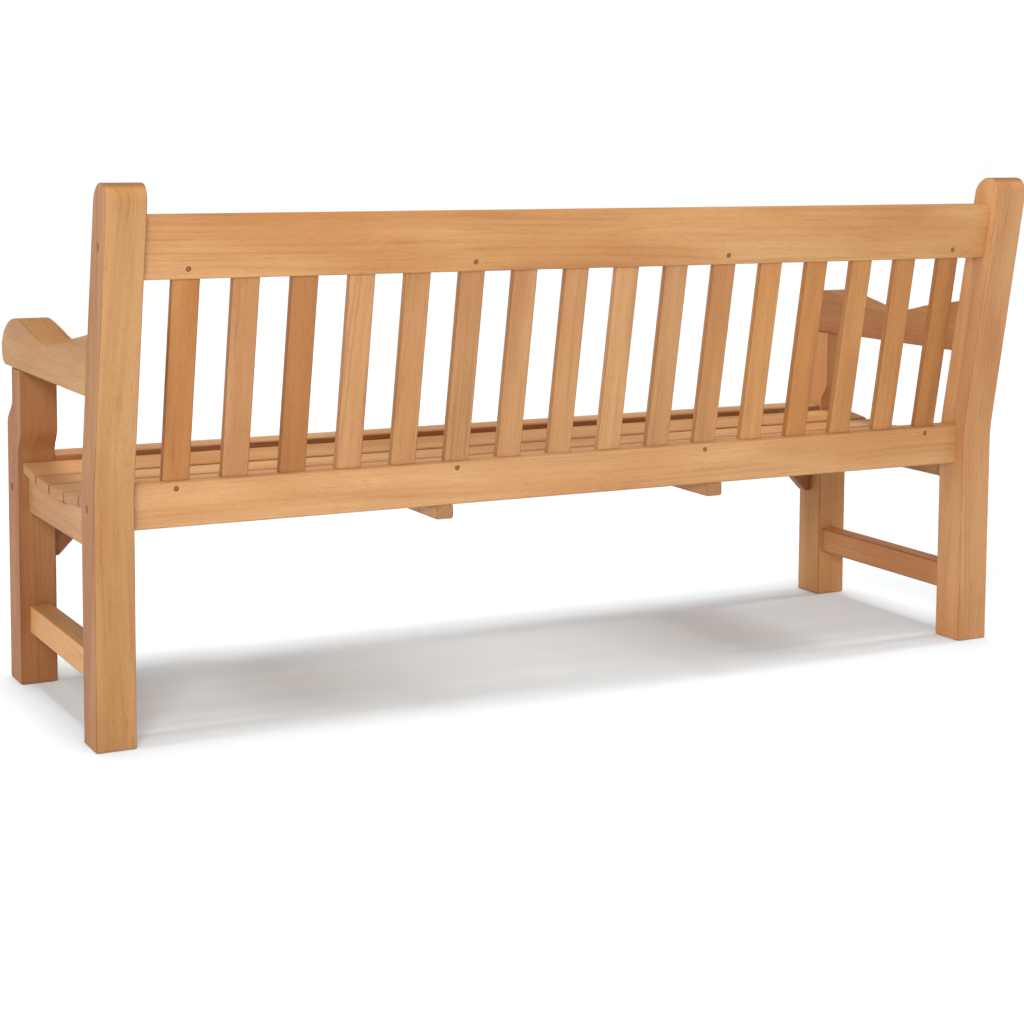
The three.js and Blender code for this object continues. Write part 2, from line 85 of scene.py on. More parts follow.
class Axis(Enum):
    """A direction of the frame, as its index in a vector."""

    X = 0
    Y = 1
    Z = 2

    def vector(self) -> Vector:
        """Returns the unit vector along the axis."""
        return Vector([1.0 if i == self.value else 0.0 for i in range(3)])


class Slot(Enum):
    """The record's material slots."""

    TEAK = "teak"
    PINS = "pins"
    STEEL = "steel"


# ---- modelling ---------------------------------------------------------------------------------------


def select_nothing() -> None:
    """Leaves edit mode and deselects every object."""
    if bpy.context.object and bpy.context.object.mode != "OBJECT":
        bpy.ops.object.mode_set(mode="OBJECT")
    bpy.ops.object.select_all(action="DESELECT")


def ease_in_out(share: float) -> float:
    """Returns a smooth S from 0 to 1 for a share that is held between 0 and 1."""
    held = min(1.0, max(0.0, share))
    return 0.5 - 0.5 * math.cos(math.pi * held)


def bend_start(height: float, start: float, slope: float, soft: float) -> float:
    """Offset of a face that is upright below a height and leans above it, with a soft bend between.

    Args:
        height: where the offset is wanted.
        start: height of the bend.
        slope: offset per metre of height above the bend.
        soft: half the height over which the bend is spread.

    Returns:
        The offset in metres.
    """
    if height <= start - soft:
        return 0.0
    if height >= start + soft:
        return (height - start) * slope
    return slope * (height - start + soft) ** 2 / (4 * soft)


def curve_through(points: Sequence[tuple[float, float]], at: float) -> float:
    """Height of a smooth curve through points that are in order of their first number.

    Args:
        points: pairs of place and height.
        at: the place where the height is wanted.

    Returns:
        The height on a Catmull-Rom curve.
    """
    last = len(points) - 2
    i = next((k for k in range(last + 1) if at <= points[k + 1][0]), last)
    (x1, y1), (x2, y2) = points[i], points[i + 1]
    before = points[i - 1] if i > 0 else (2 * x1 - x2, 2 * y1 - y2)
    after = points[i + 2] if i < last else (2 * x2 - x1, 2 * y2 - y1)
    span = x2 - x1
    start_slope = (y2 - before[1]) / (x2 - before[0]) * span
    end_slope = (after[1] - y1) / (after[0] - x1) * span
    t = min(1.0, max(0.0, (at - x1) / span))
    return (
        (2 * t**3 - 3 * t**2 + 1) * y1
        + (t**3 - 2 * t**2 + t) * start_slope
        + (3 * t**2 - 2 * t**3) * y2
        + (t**3 - t**2) * end_slope
    )


class Workpiece:
    """A mesh object that is shaped with edit-mode tools, then finished and fixed to the frame."""

    def __init__(self, thing: bpy.types.Object) -> None:
        """Takes hold of an object."""
        self.thing = thing

    @classmethod
    def block(cls, name: str, low: Sequence[float], high: Sequence[float], lean: float = 0.0) -> "Workpiece":
        """Adds a block at its size and place.

        Args:
            name: the piece's name.
            low: its lowest corner.
            high: its highest corner.
            lean: backwards lean about its middle, in radians.

        Returns:
            The new workpiece.
        """
        select_nothing()
        low_corner = Vector(low)
        high_corner = Vector(high)
        bpy.ops.mesh.primitive_cube_add(
            size=1.0,
            location=(low_corner + high_corner) / 2,
            rotation=(-lean, 0.0, 0.0),
            scale=high_corner - low_corner,
        )
        return cls._settled(name)

    @classmethod
    def rod(
        cls, name: str, start: Sequence[float], end: Sequence[float], radius: float, sides: int = 32
    ) -> "Workpiece":
        """Adds a round rod between two points.

        Args:
            name: the piece's name.
            start: middle of one end.
            end: middle of the other end.
            radius: its radius.
            sides: how many faces go round it.

        Returns:
            The new workpiece.
        """
        select_nothing()
        first = Vector(start)
        run = Vector(end) - first
        bpy.ops.mesh.primitive_cylinder_add(
            vertices=sides,
            radius=radius,
            depth=run.length,
            location=first + run / 2,
            rotation=run.to_track_quat("Z", "Y").to_euler(),
        )
        return cls._settled(name)

    @classmethod
    def _settled(cls, name: str) -> "Workpiece":
        """Applies the new object's transform and names it.

        Args:
            name: the piece's name.

        Returns:
            The workpiece that holds it.
        """
        bpy.ops.object.transform_apply(location=True, rotation=True, scale=True)
        thing = bpy.context.object
        thing.name = name
        thing.data.name = name
        return cls(thing)

    def hold(self) -> None:
        """Makes this the one selected and active object, in object mode."""
        select_nothing()
        self.thing.select_set(True)
        bpy.context.view_layer.objects.active = self.thing

    def pick(self, kind: Kind, test: Test) -> None:
        """Selects parts in edit mode.

        Args:
            kind: points, edges or faces.
            test: takes a part's middle and its direction, and says if it is wanted. The direction is a
                point's or face's normal, or an edge's run.
        """
        if self.thing.mode != "EDIT":
            self.hold()
            bpy.ops.object.mode_set(mode="EDIT")
        bpy.ops.mesh.select_mode(type=kind.value)
        bpy.ops.mesh.select_all(action="DESELECT")
        mesh = bmesh.from_edit_mesh(self.thing.data)
        if kind is Kind.POINTS:
            for point in mesh.verts:
                point.select_set(test(point.co, point.normal))
        elif kind is Kind.EDGES:
            for edge in mesh.edges:
                ends = edge.verts[0].co, edge.verts[1].co
                edge.select_set(test((ends[0] + ends[1]) / 2, (ends[1] - ends[0]).normalized()))
        else:
            for face in mesh.faces:
                face.select_set(test(face.calc_center_median(), face.normal))
        bmesh.update_edit_mesh(self.thing.data)

    def slice(self, axis: Axis, places: Iterable[float]) -> None:
        """Cuts rows of edges right across the piece.

        Args:
            axis: the direction along which the rows follow each other.
            places: where the rows are.
        """
        for place in places:
            self.slice_at(axis.vector() * place, axis.vector())

    def slice_at(self, through: Vector, facing: Vector, drop: bool = False) -> None:
        """Cuts the piece with a plane.

        Args:
            through: a point of the plane.
            facing: the plane's direction.
            drop: takes off what is on the side that the plane faces, and closes the cut.
        """
        self.pick(Kind.FACES, lambda place, normal: True)
        bpy.ops.mesh.bisect(plane_co=through, plane_no=facing, use_fill=drop, clear_outer=drop)

    def move(self, test: Test, by: Sequence[float]) -> None:
        """Moves the points that pass the test."""
        self.pick(Kind.POINTS, test)
        bpy.ops.transform.translate(value=by)

    def draw_out(self, test: Test, by: Sequence[float]) -> None:
        """Extrudes the faces that pass the test."""
        self.pick(Kind.FACES, test)
        bpy.ops.mesh.extrude_region_move(TRANSFORM_OT_translate={"value": by})

    def round_over(self, test: Test, radius: float, steps: int) -> None:
        """Rounds the edges that pass the test."""
        self.pick(Kind.EDGES, test)
        bpy.ops.mesh.bevel(offset=radius, offset_type="OFFSET", segments=steps, affect="EDGES")

    def modify(self, kind: str, **settings: object) -> None:
        """Adds a modifier and applies it.

        Args:
            kind: its type.
            settings: its own properties.
        """
        self.hold()
        bpy.ops.object.modifier_add(type=kind)
        modifier = self.thing.modifiers[-1]
        for name, value in settings.items():
            setattr(modifier, name, value)
        bpy.ops.object.modifier_apply(modifier=modifier.name)

    def ease(self, radius: float, steps: int = 3, sharp: float = CORNER) -> None:
        """Eases every sharp edge.

        Args:
            radius: how wide the easing is.
            steps: how many faces go round it.
            sharp: the angle in degrees past which an edge counts as sharp.
        """
        self.modify(
            "BEVEL",
            width=radius,
            segments=steps,
            limit_method="ANGLE",
            angle_limit=math.radians(sharp),
            harden_normals=False,
        )

    def cut(self, tool: "Workpiece") -> None:
        """Takes another piece's shape out of this one.

        Args:
            tool: the other piece, which is removed.
        """
        self.modify("BOOLEAN", operation="DIFFERENCE", solver="EXACT", object=tool.thing)
        tool.hold()
        bpy.ops.object.delete()
        self.hold()

    def copy(self, name: str, by: Sequence[float] = (0.0, 0.0, 0.0)) -> "Workpiece":
        """Copies the piece with a mesh of its own.

        Args:
            name: the copy's name.
            by: how far it is moved.

        Returns:
            The copy.
        """
        self.hold()
        bpy.ops.object.duplicate(linked=False)
        bpy.ops.transform.translate(value=by)
        return self._settled(name)

    def mirrored(self, name: str) -> "Workpiece":
        """Copies the piece to the other side of x = 0 and turns the copy's faces outwards again.

        Args:
            name: the copy's name.

        Returns:
            The copy.
        """
        other = self.copy(name)
        other.thing.scale.x = -1.0
        bpy.ops.object.transform_apply(location=True, rotation=True, scale=True)
        other.pick(Kind.FACES, lambda place, normal: True)
        bpy.ops.mesh.normals_make_consistent(inside=False)
        other.hold()
        return other

    def finish(self, material: bpy.types.Material, slot: Slot, node: str) -> None:
        """Shades the piece, gives it its material and fixes it to the frame.

        Args:
            material: its finish.
            slot: the record's material slot; not used.
            node: the frame's node that it stands for.
        """
        self.hold()
        bpy.ops.object.shade_smooth_by_angle(angle=math.radians(SHADE_SHARP))
        self.modify("WEIGHTED_NORMAL", keep_sharp=True, weight=60)
        self.thing.data.materials.clear()
        self.thing.data.materials.append(material)
        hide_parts(node)
        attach(self.thing, BODY)
        faces = len(self.thing.data.polygons)
        log.info("%s: %d faces, %s", self.thing.name, faces, material.name)


# ---- finishes ----------------------------------------------------------------------------------------


class Sketch:
    """Short ways to add nodes to one node tree."""

    def __init__(self, tree: bpy.types.NodeTree) -> None:
        """Starts on a tree."""
        self.tree = tree

    def node(
        self, kind: str, inputs: dict[str | int, Feed] | None = None, **settings: object
    ) -> bpy.types.Node:
        """Adds a node.

        Args:
            kind: its type.
            inputs: what goes into its sockets, by name or number: a socket to link or a value.
            settings: its own properties.

        Returns:
            The node.
        """
        made = self.tree.nodes.new(kind)
        for name, value in settings.items():
            setattr(made, name, value)
        for key, value in (inputs or {}).items():
            if isinstance(value, bpy.types.NodeSocket):
                self.tree.links.new(value, made.inputs[key])
            else:
                made.inputs[key].default_value = value
        return made

    def maths(self, operation: str, *values: Feed) -> bpy.types.NodeSocket:
        """Adds a Math node and returns its result."""
        return self.node("ShaderNodeMath", dict(enumerate(values)), operation=operation).outputs[0]

    def vector(self, operation: str, *values: Feed) -> bpy.types.NodeSocket:
        """Adds a Vector Math node.

        Args:
            operation: what it does.
            values: what goes into its sockets, in their order.

        Returns:
            Its vector, or its number where it has one.
        """
        made = self.node("ShaderNodeVectorMath", dict(enumerate(values)), operation=operation)
        number = operation in ("LENGTH", "DOT_PRODUCT")
        return made.outputs["Value" if number else "Vector"]

    def scaled(self, vector: Feed, by: Feed) -> bpy.types.NodeSocket:
        """Adds a Vector Math node that makes a vector longer or shorter, and returns its vector."""
        inputs = {0: vector, "Scale": by}
        return self.node("ShaderNodeVectorMath", inputs, operation="SCALE").outputs["Vector"]

    def noise(self, place: Feed, scale: float, detail: float = 2.0, rough: float = 0.5) -> bpy.types.Node:
        """Adds a Noise Texture at a place and returns the node."""
        inputs = {"Vector": place, "Scale": scale, "Detail": detail, "Roughness": rough}
        return self.node("ShaderNodeTexNoise", inputs)

    def line_noise(self, along: Feed, scale: float, detail: float = 2.0) -> bpy.types.NodeSocket:
        """Adds a Noise Texture of one dimension and returns its value."""
        inputs = {"W": along, "Scale": scale, "Detail": detail}
        return self.node("ShaderNodeTexNoise", inputs, noise_dimensions="1D").outputs[0]

    def between(
        self, value: Feed, low: float, high: float, to_low: float = 0.0, to_high: float = 1.0
    ) -> bpy.types.NodeSocket:
        """Adds a smooth Map Range node and returns its result."""
        inputs = {"Value": value, 1: low, 2: high, 3: to_low, 4: to_high}
        return self.node("ShaderNodeMapRange", inputs, interpolation_type="SMOOTHSTEP").outputs[0]

    def mix(self, factor: Feed, first: Feed, second: Feed, blend: str = "MIX") -> bpy.types.NodeSocket:
        """Adds a colour Mix node and returns its result."""
        inputs = {0: factor, 6: first, 7: second}
        return self.node("ShaderNodeMix", inputs, data_type="RGBA", blend_type=blend).outputs[2]


Colour = tuple[float, float, float, float]


def colour(red: float, green: float, blue: float) -> Colour:
    """Returns a linear colour with full alpha."""
    return (red, green, blue, 1.0)


@dataclass(frozen=True)
class Grain:
    """How a board lies in its log: which way the grain runs and where the heart of the tree is.

    Attributes:
        along: the grain's direction.
        across: the board's width.
        heart: the heart's place beside the board's middle, across it and through it, in metres.
    """

    along: Vector
    across: Vector
    heart: tuple[float, float]

    def turn(self) -> Matrix:
        """Works out how the board is turned.

        Returns:
            The board's own axes as the columns of a rotation.
        """
        run = self.along.normalized()
        through = run.cross(self.across).normalized()
        wide = through.cross(run)
        return Matrix((run, wide, through)).transposed()

    def rim(self) -> Vector:
        """Works out which arrises take the painted shade: those of the sides that face this way.

        Returns:
            X for an upright board or one that runs from front to back, and otherwise the broad sides' normal.
        """
        if abs(self.along.normalized().x) < 0.5:
            return Vector((1.0, 0.0, 0.0))
        return self.along.cross(self.across).normalized()


@dataclass(frozen=True)
class BoardLook:
    """What sets one board apart from the others.

    Attributes:
        tone: 1 for the usual lightness.
        redness: 0 for honey-coloured wood, 1 for the reddest.
        streaks: how strong its darker streaks are.
        gold: 0 for pale wood, 1 for the deepest golden colour.
        painted_shade: how much painted shade its arrises take, a dark line that stands for the shading of the
            eased edges.
        side_shade: how much painted shade the side takes that faces the way its width runs.
    """

    tone: float = 1.0
    redness: float = 0.0
    streaks: float = 0.3
    gold: float = 0.0
    # The last two are painted shade: a dark line on the arrises, and a darker side.
    painted_shade: float = 0.75
    side_shade: float = 0.0


@dataclass(frozen=True)
class Layer:
    """Noise that is drawn out along the grain.

    Attributes:
        along: how fast it changes along the grain, per metre.
        across: how fast it changes across the grain, per metre.
        detail: how many finer octaves it has.
        rough: how strong those are.
    """

    along: float
    across: float
    detail: float = 2.0
    rough: float = 0.5

    def draw(self, pen: Sketch, place: Feed) -> bpy.types.Node:
        """Adds the noise at a place and returns its node."""
        stretched = pen.vector("MULTIPLY", place, (self.along, self.across, self.across))
        return pen.noise(stretched, 1.0, self.detail, self.rough)


@dataclass(frozen=True)
class Timber:
    """Sanded, unoiled hardwood: growth rings round a heart, fibres, pores, streaks and end grain.

    Attributes:
        pale: the lightest wood.
        warm: the usual wood.
        deep: streaks and ring lines.
        pore: open pores and the darkest lines.
        end: the wood on end faces.
        red: what redder boards are multiplied by.
        gold: what golden boards are multiplied by.
        edge: what the wood is multiplied by where painted shade lies, on the arrises and on a shaded side.
        ring: usual distance between ring lines, in metres.
        ring_peak: the share of that distance at which a ring line is darkest.
        ring_end: the share at which it has faded away.
        slow_bend: waves that push the rings out of true.
        slow_push: how far those push them, in metres.
        fine_bend: ripples that push the rings.
        fine_push: how far those push them, in metres.
        fibres: fine lines all along the board.
        streaks: darker streaks.
        broad: slow changes between pale and warm wood.
        presence: where ring lines show and where they fade.
        pores: open pores.
        flecks: short dark flecks.
        bump: how strong the relief is.
        relief: its depth in metres.
        gloss: the shader's specular level.
        name: the start of its materials' names.
    """

    pale: Colour = colour(0.520, 0.284, 0.124)
    warm: Colour = colour(0.430, 0.202, 0.072)
    deep: Colour = colour(0.250, 0.094, 0.028)
    pore: Colour = colour(0.120, 0.045, 0.015)
    end: Colour = colour(0.320, 0.165, 0.072)
    red: Colour = colour(0.970, 0.740, 0.560)
    gold: Colour = colour(0.980, 0.940, 0.680)
    # Painted shade: the colour that darkens the arrises and a shaded side of a board.
    edge: Colour = colour(0.580, 0.430, 0.330)
    ring: float = 0.0066
    ring_peak: float = 0.16
    ring_end: float = 0.80
    slow_bend: Layer = Layer(0.9, 5.0, 1.0)
    slow_push: float = 0.050
    fine_bend: Layer = Layer(7.0, 60.0)
    fine_push: float = 0.0022
    fibres: Layer = Layer(13.0, 520.0, 3.0, 0.6)
    streaks: Layer = Layer(2.6, 60.0, 5.0, 0.65)
    broad: Layer = Layer(2.4, 10.0)
    presence: Layer = Layer(2.2, 24.0)
    pores: Layer = Layer(55.0, 1300.0, 1.0)
    flecks: Layer = Layer(12.0, 190.0)
    bump: float = 0.35
    relief: float = 0.0004
    gloss: float = 0.32
    name: str = "teak"

    def group(self) -> bpy.types.NodeTree:
        """Finds the node group that draws the wood, and makes it the first time.

        Returns:
            The group.
        """
        found = bpy.data.node_groups.get(self.name + "_figure")
        if found:
            return found
        tree = bpy.data.node_groups.new(self.name + "_figure", "ShaderNodeTree")
        face = tree.interface
        for name, kind in (
            ("Place", "NodeSocketVector"),
            ("End", "NodeSocketFloat"),
            ("Heart", "NodeSocketVector"),
            ("Seed", "NodeSocketFloat"),
            ("Tone", "NodeSocketFloat"),
            ("Streaks", "NodeSocketFloat"),
            ("Redness", "NodeSocketFloat"),
            ("Gold", "NodeSocketFloat"),
            ("PaintedShade", "NodeSocketFloat"),
        ):
            face.new_socket(name, in_out="INPUT", socket_type=kind)
        face.new_socket("Colour", in_out="OUTPUT", socket_type="NodeSocketColor")
        face.new_socket("Roughness", in_out="OUTPUT", socket_type="NodeSocketFloat")
        face.new_socket("Height", in_out="OUTPUT", socket_type="NodeSocketFloat")
        self._draw(Sketch(tree))
        return tree

    def _push(self, pen: Sketch, bend: Layer, place: Feed, reach: float) -> bpy.types.NodeSocket:
        """Adds a push across the grain.

        Args:
            pen: draws in the group.
            bend: the noise that decides the push.
            place: where the noise is read.
            reach: the widest push in metres.

        Returns:
            The push as a vector.
        """
        centred = pen.vector("SUBTRACT", bend.draw(pen, place).outputs["Color"], (0.5, 0.5, 0.5))
        return pen.vector("MULTIPLY", centred, (0.0, reach, reach))

    def _rings(
        self, pen: Sketch, place: Feed, seeded: Feed, heart: Feed
    ) -> tuple[bpy.types.NodeSocket, bpy.types.NodeSocket]:
        """Adds the growth rings round the heart.

        Args:
            pen: draws in the group.
            place: the place on the board.
            seeded: the same place, moved apart for this board.
            heart: the heart's place.

        Returns:
            How dark the ring lines are, and wider bands of warmer wood between some of them.
        """
        slow_push = self._push(pen, self.slow_bend, seeded, self.slow_push)
        fine_push = self._push(pen, self.fine_bend, seeded, self.fine_push)
        wavy = pen.vector("ADD", pen.vector("ADD", place, slow_push), fine_push)
        from_heart = pen.vector("MULTIPLY", pen.vector("SUBTRACT", wavy, heart), (0.0, 1.0, 1.0))
        radius = pen.vector("LENGTH", from_heart)
        uneven = pen.maths("MULTIPLY", pen.line_noise(radius, 48.0, 2.0), 4.6)
        phase = pen.maths("ADD", pen.maths("DIVIDE", radius, self.ring), uneven)
        within = pen.maths("FRACT", phase)
        rise = pen.between(within, 0.0, self.ring_peak)
        fall = pen.between(within, self.ring_peak, self.ring_end, 1.0, 0.0)
        return pen.maths("MULTIPLY", rise, fall), pen.line_noise(radius, 46.0, 4.0)

    def _draw(self, pen: Sketch) -> None:
        """Adds the nodes that draw the wood.

        Args:
            pen: draws in the group.
        """
        given = pen.node("NodeGroupInput").outputs
        place = given["Place"]
        seeded = pen.vector("ADD", place, pen.scaled((0.37, 0.61, 0.83), given["Seed"]))
        ring_line, bands = self._rings(pen, place, seeded, given["Heart"])

        fibres = self.fibres.draw(pen, seeded).outputs[0]
        streaks = self.streaks.draw(pen, seeded).outputs[0]
        broad = self.broad.draw(pen, seeded).outputs[0]
        presence = self.presence.draw(pen, seeded).outputs[0]
        flecks = self.flecks.draw(pen, seeded).outputs[0]
        open_pores = pen.between(self.pores.draw(pen, seeded).outputs[0], 0.60, 0.70)
        ring_strength = pen.maths("MULTIPLY", ring_line, pen.between(presence, 0.42, 0.68, 0.0, 0.30))
        streak_strength = pen.maths("MULTIPLY", pen.between(streaks, 0.50, 0.76), given["Streaks"])

        body = pen.mix(pen.between(broad, 0.32, 0.68), self.pale, self.warm)
        for strength, tint in (
            (pen.maths("MULTIPLY", pen.between(bands, 0.42, 0.66), 0.50), self.warm),
            (streak_strength, self.deep),
            (ring_strength, self.deep),
            (pen.maths("MULTIPLY", pen.between(flecks, 0.62, 0.74), 0.22), self.deep),
            (pen.maths("MULTIPLY", pen.between(fibres, 0.35, 0.75), 0.10), self.deep),
            (pen.maths("MULTIPLY", open_pores, 0.28), self.pore),
        ):
            body = pen.mix(strength, body, tint)
        cross = pen.mix(pen.maths("MULTIPLY", ring_line, 0.55), self.end, self.deep)
        cross = pen.mix(pen.maths("MULTIPLY", open_pores, 0.6), cross, self.pore)
        whole = pen.mix(given["End"], body, cross)
        # Painted shade: darkens the wood on the arrises and on the side that the look names, broken up by the
        # streaks.
        painted_shade = pen.maths("MULTIPLY", given["PaintedShade"], pen.between(streaks, 0.35, 0.65, 0.65, 1.0))
        for share, stain_and_shade in ((given["Redness"], self.red), (given["Gold"], self.gold), (painted_shade, self.edge)):
            whole = pen.mix(share, whole, pen.mix(1.0, whole, stain_and_shade, "MULTIPLY"))

        grit = pen.maths("MULTIPLY", fibres, 0.5)
        height = pen.maths("SUBTRACT", 1.0, grit)
        height = pen.maths("SUBTRACT", height, pen.maths("MULTIPLY", open_pores, 0.6))
        height = pen.maths("SUBTRACT", height, pen.maths("MULTIPLY", ring_line, 0.25))
        rough = pen.between(fibres, 0.3, 0.7, 0.50, 0.62)
        rough = pen.maths("ADD", rough, pen.maths("MULTIPLY", given["End"], 0.14))
        outputs = {"Colour": pen.scaled(whole, given["Tone"]), "Roughness": rough, "Height": height}
        pen.node("NodeGroupOutput", outputs)

    def material(
        self, name: str, middle: Vector, grain: Grain, seed: float, look: BoardLook
    ) -> bpy.types.Material:
        """Makes the material of one board.

        Args:
            name: the board's name.
            middle: the board's middle, where its pattern is centred.
            grain: how the board lies in its log.
            seed: sets this board's pattern apart from the others.
            look: what sets the board's colour and its painted shade apart.

        Returns:
            The material.
        """
        made = bpy.data.materials.new(f"{self.name}_{name}")
        made.use_nodes = True
        pen = Sketch(made.node_tree)
        where = pen.node("ShaderNodeTexCoord").outputs
        inputs = {"Vector": where["Object"], "Location": middle, "Rotation": grain.turn().to_euler()}
        figure = pen.node(
            "ShaderNodeGroup",
            {
                "Place": pen.node("ShaderNodeMapping", inputs, vector_type="TEXTURE").outputs[0],
                "End": self._end_share(pen, where["Normal"], grain),
                "Heart": (0.0, grain.heart[0], grain.heart[1]),
                "Seed": seed,
                "Tone": look.tone,
                "Streaks": look.streaks,
                "Redness": look.redness,
                "Gold": look.gold,
                "PaintedShade": self._painted_shade_share(pen, where["Normal"], grain, look),
            },
            node_tree=self.group(),
        ).outputs
        bump_inputs = {"Height": figure["Height"], "Strength": self.bump, "Distance": self.relief}
        bump = pen.node("ShaderNodeBump", bump_inputs).outputs[0]
        shader = made.node_tree.nodes["Principled BSDF"]
        made.node_tree.links.new(figure["Colour"], shader.inputs["Base Color"])
        made.node_tree.links.new(figure["Roughness"], shader.inputs["Roughness"])
        made.node_tree.links.new(bump, shader.inputs["Normal"])
        shader.inputs["Specular IOR Level"].default_value = self.gloss
        return made

    def _end_share(self, pen: Sketch, normal: Feed, grain: Grain) -> bpy.types.NodeSocket:
        """Adds the share of end grain, which is full on faces across the grain, and returns it."""
        facing = pen.maths("ABSOLUTE", pen.vector("DOT_PRODUCT", normal, grain.along.normalized()))
        return pen.between(facing, 0.70, 0.96)

    def _painted_shade_share(
        self, pen: Sketch, normal: Feed, grain: Grain, look: BoardLook
    ) -> bpy.types.NodeSocket:
        """Adds the share of painted shade, on the arrises and on the side that faces the way the board's
        width runs.

        Args:
            pen: draws in the board's material.
            normal: the surface's normal.
            grain: how the board lies in its log.
            look: how much painted shade the board's arrises and that side take.

        Returns:
            The share.
        """
        # Painted shade along the arrises: a band where the normal turns between two sides.
        sideways = pen.maths("ABSOLUTE", pen.vector("DOT_PRODUCT", normal, grain.rim()))
        leaves = pen.between(sideways, 0.04, 0.2)
        arris = pen.maths("MULTIPLY", leaves, pen.between(sideways, 0.96, 0.998, 1.0, 0.0))
        flank = pen.vector("DOT_PRODUCT", normal, grain.across.normalized())
        # Painted shade on the side that faces the way the board's width runs.
        side_shade = pen.maths("MULTIPLY", pen.between(flank, 0.80, 0.95), look.side_shade)
        return pen.maths("MAXIMUM", pen.maths("MULTIPLY", arris, look.painted_shade), side_shade)


@dataclass(frozen=True)
class Steel:
    """Brushed steel of the bolts and nuts, coloured dark as painted shade of the deep recesses that the bolts
    sit in.

    Attributes:
        body: its colour, dark as painted shade of those recesses.
        cloud: its colour where it is darker.
        brush: how dense the brushing is, per metre.
        cloudiness: how dense the darker clouds are, per metre.
    """

    # Painted shade: the steel is darkened to stand for the shade in the bolts' recesses.
    body: Colour = colour(0.12, 0.11, 0.10)
    cloud: Colour = colour(0.08, 0.07, 0.06)
    brush: float = 2600.0
    cloudiness: float = 420.0

    def material(self) -> bpy.types.Material:
        """Makes the material.

        Returns:
            The material.
        """
        made = bpy.data.materials.new("brushed_steel")
        made.use_nodes = True
        pen = Sketch(made.node_tree)
        shader = made.node_tree.nodes["Principled BSDF"]
        place = pen.node("ShaderNodeTexCoord").outputs["Object"]
        stretched = pen.vector("MULTIPLY", place, (self.brush * 0.1, self.brush, self.brush))
        brushed = pen.noise(stretched, 1.0, 2.0).outputs[0]
        cloudy = pen.noise(place, self.cloudiness, 2.0).outputs[0]
        tint = pen.mix(pen.between(cloudy, 0.35, 0.7), self.body, self.cloud)
        bump = pen.node("ShaderNodeBump", {"Height": brushed, "Strength": 0.2, "Distance": 0.0001}).outputs[0]
        links = made.node_tree.links
        links.new(tint, shader.inputs["Base Color"])
        links.new(pen.between(brushed, 0.3, 0.7, 0.28, 0.46), shader.inputs["Roughness"])
        links.new(bump, shader.inputs["Normal"])
        shader.inputs["Metallic"].default_value = 1.0
        return made


class WoodStore:
    """Gives each board a finish of its own, always the same for the same order of boards."""

    def __init__(self, timber: Timber, seed: int) -> None:
        """Starts a store of one timber."""
        self.timber = timber
        self.chance = random.Random(seed)

    def board(
        self, node: str, along: Vector, across: Vector, look: BoardLook = BoardLook()
    ) -> bpy.types.Material:
        """Cuts the next board.

        Args:
            node: the frame's node that the board stands for.
            along: the grain's direction.
            across: the board's width.
            look: what sets its colour and its painted shade apart.

        Returns:
            The board's material.
        """
        low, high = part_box(node)
        distance = self.chance.uniform(0.03, 0.14)
        angle = self.chance.uniform(0.0, 2 * math.pi)
        heart = (distance * math.cos(angle), distance * math.sin(angle))
        seed = self.chance.uniform(1.0, 40.0)
        grain = Grain(along, across, heart)
        return self.timber.material(node, (low + high) / 2, grain, seed, look)


X = Axis.X.vector()
Y = Axis.Y.vector()
Z = Axis.Z.vector()


def shaped_name(node: str) -> str:
    """Returns the name of the piece that stands for a node."""
    return f"{node}.shaped"


# ---- end frames --------------------------------------------------------------------------------------


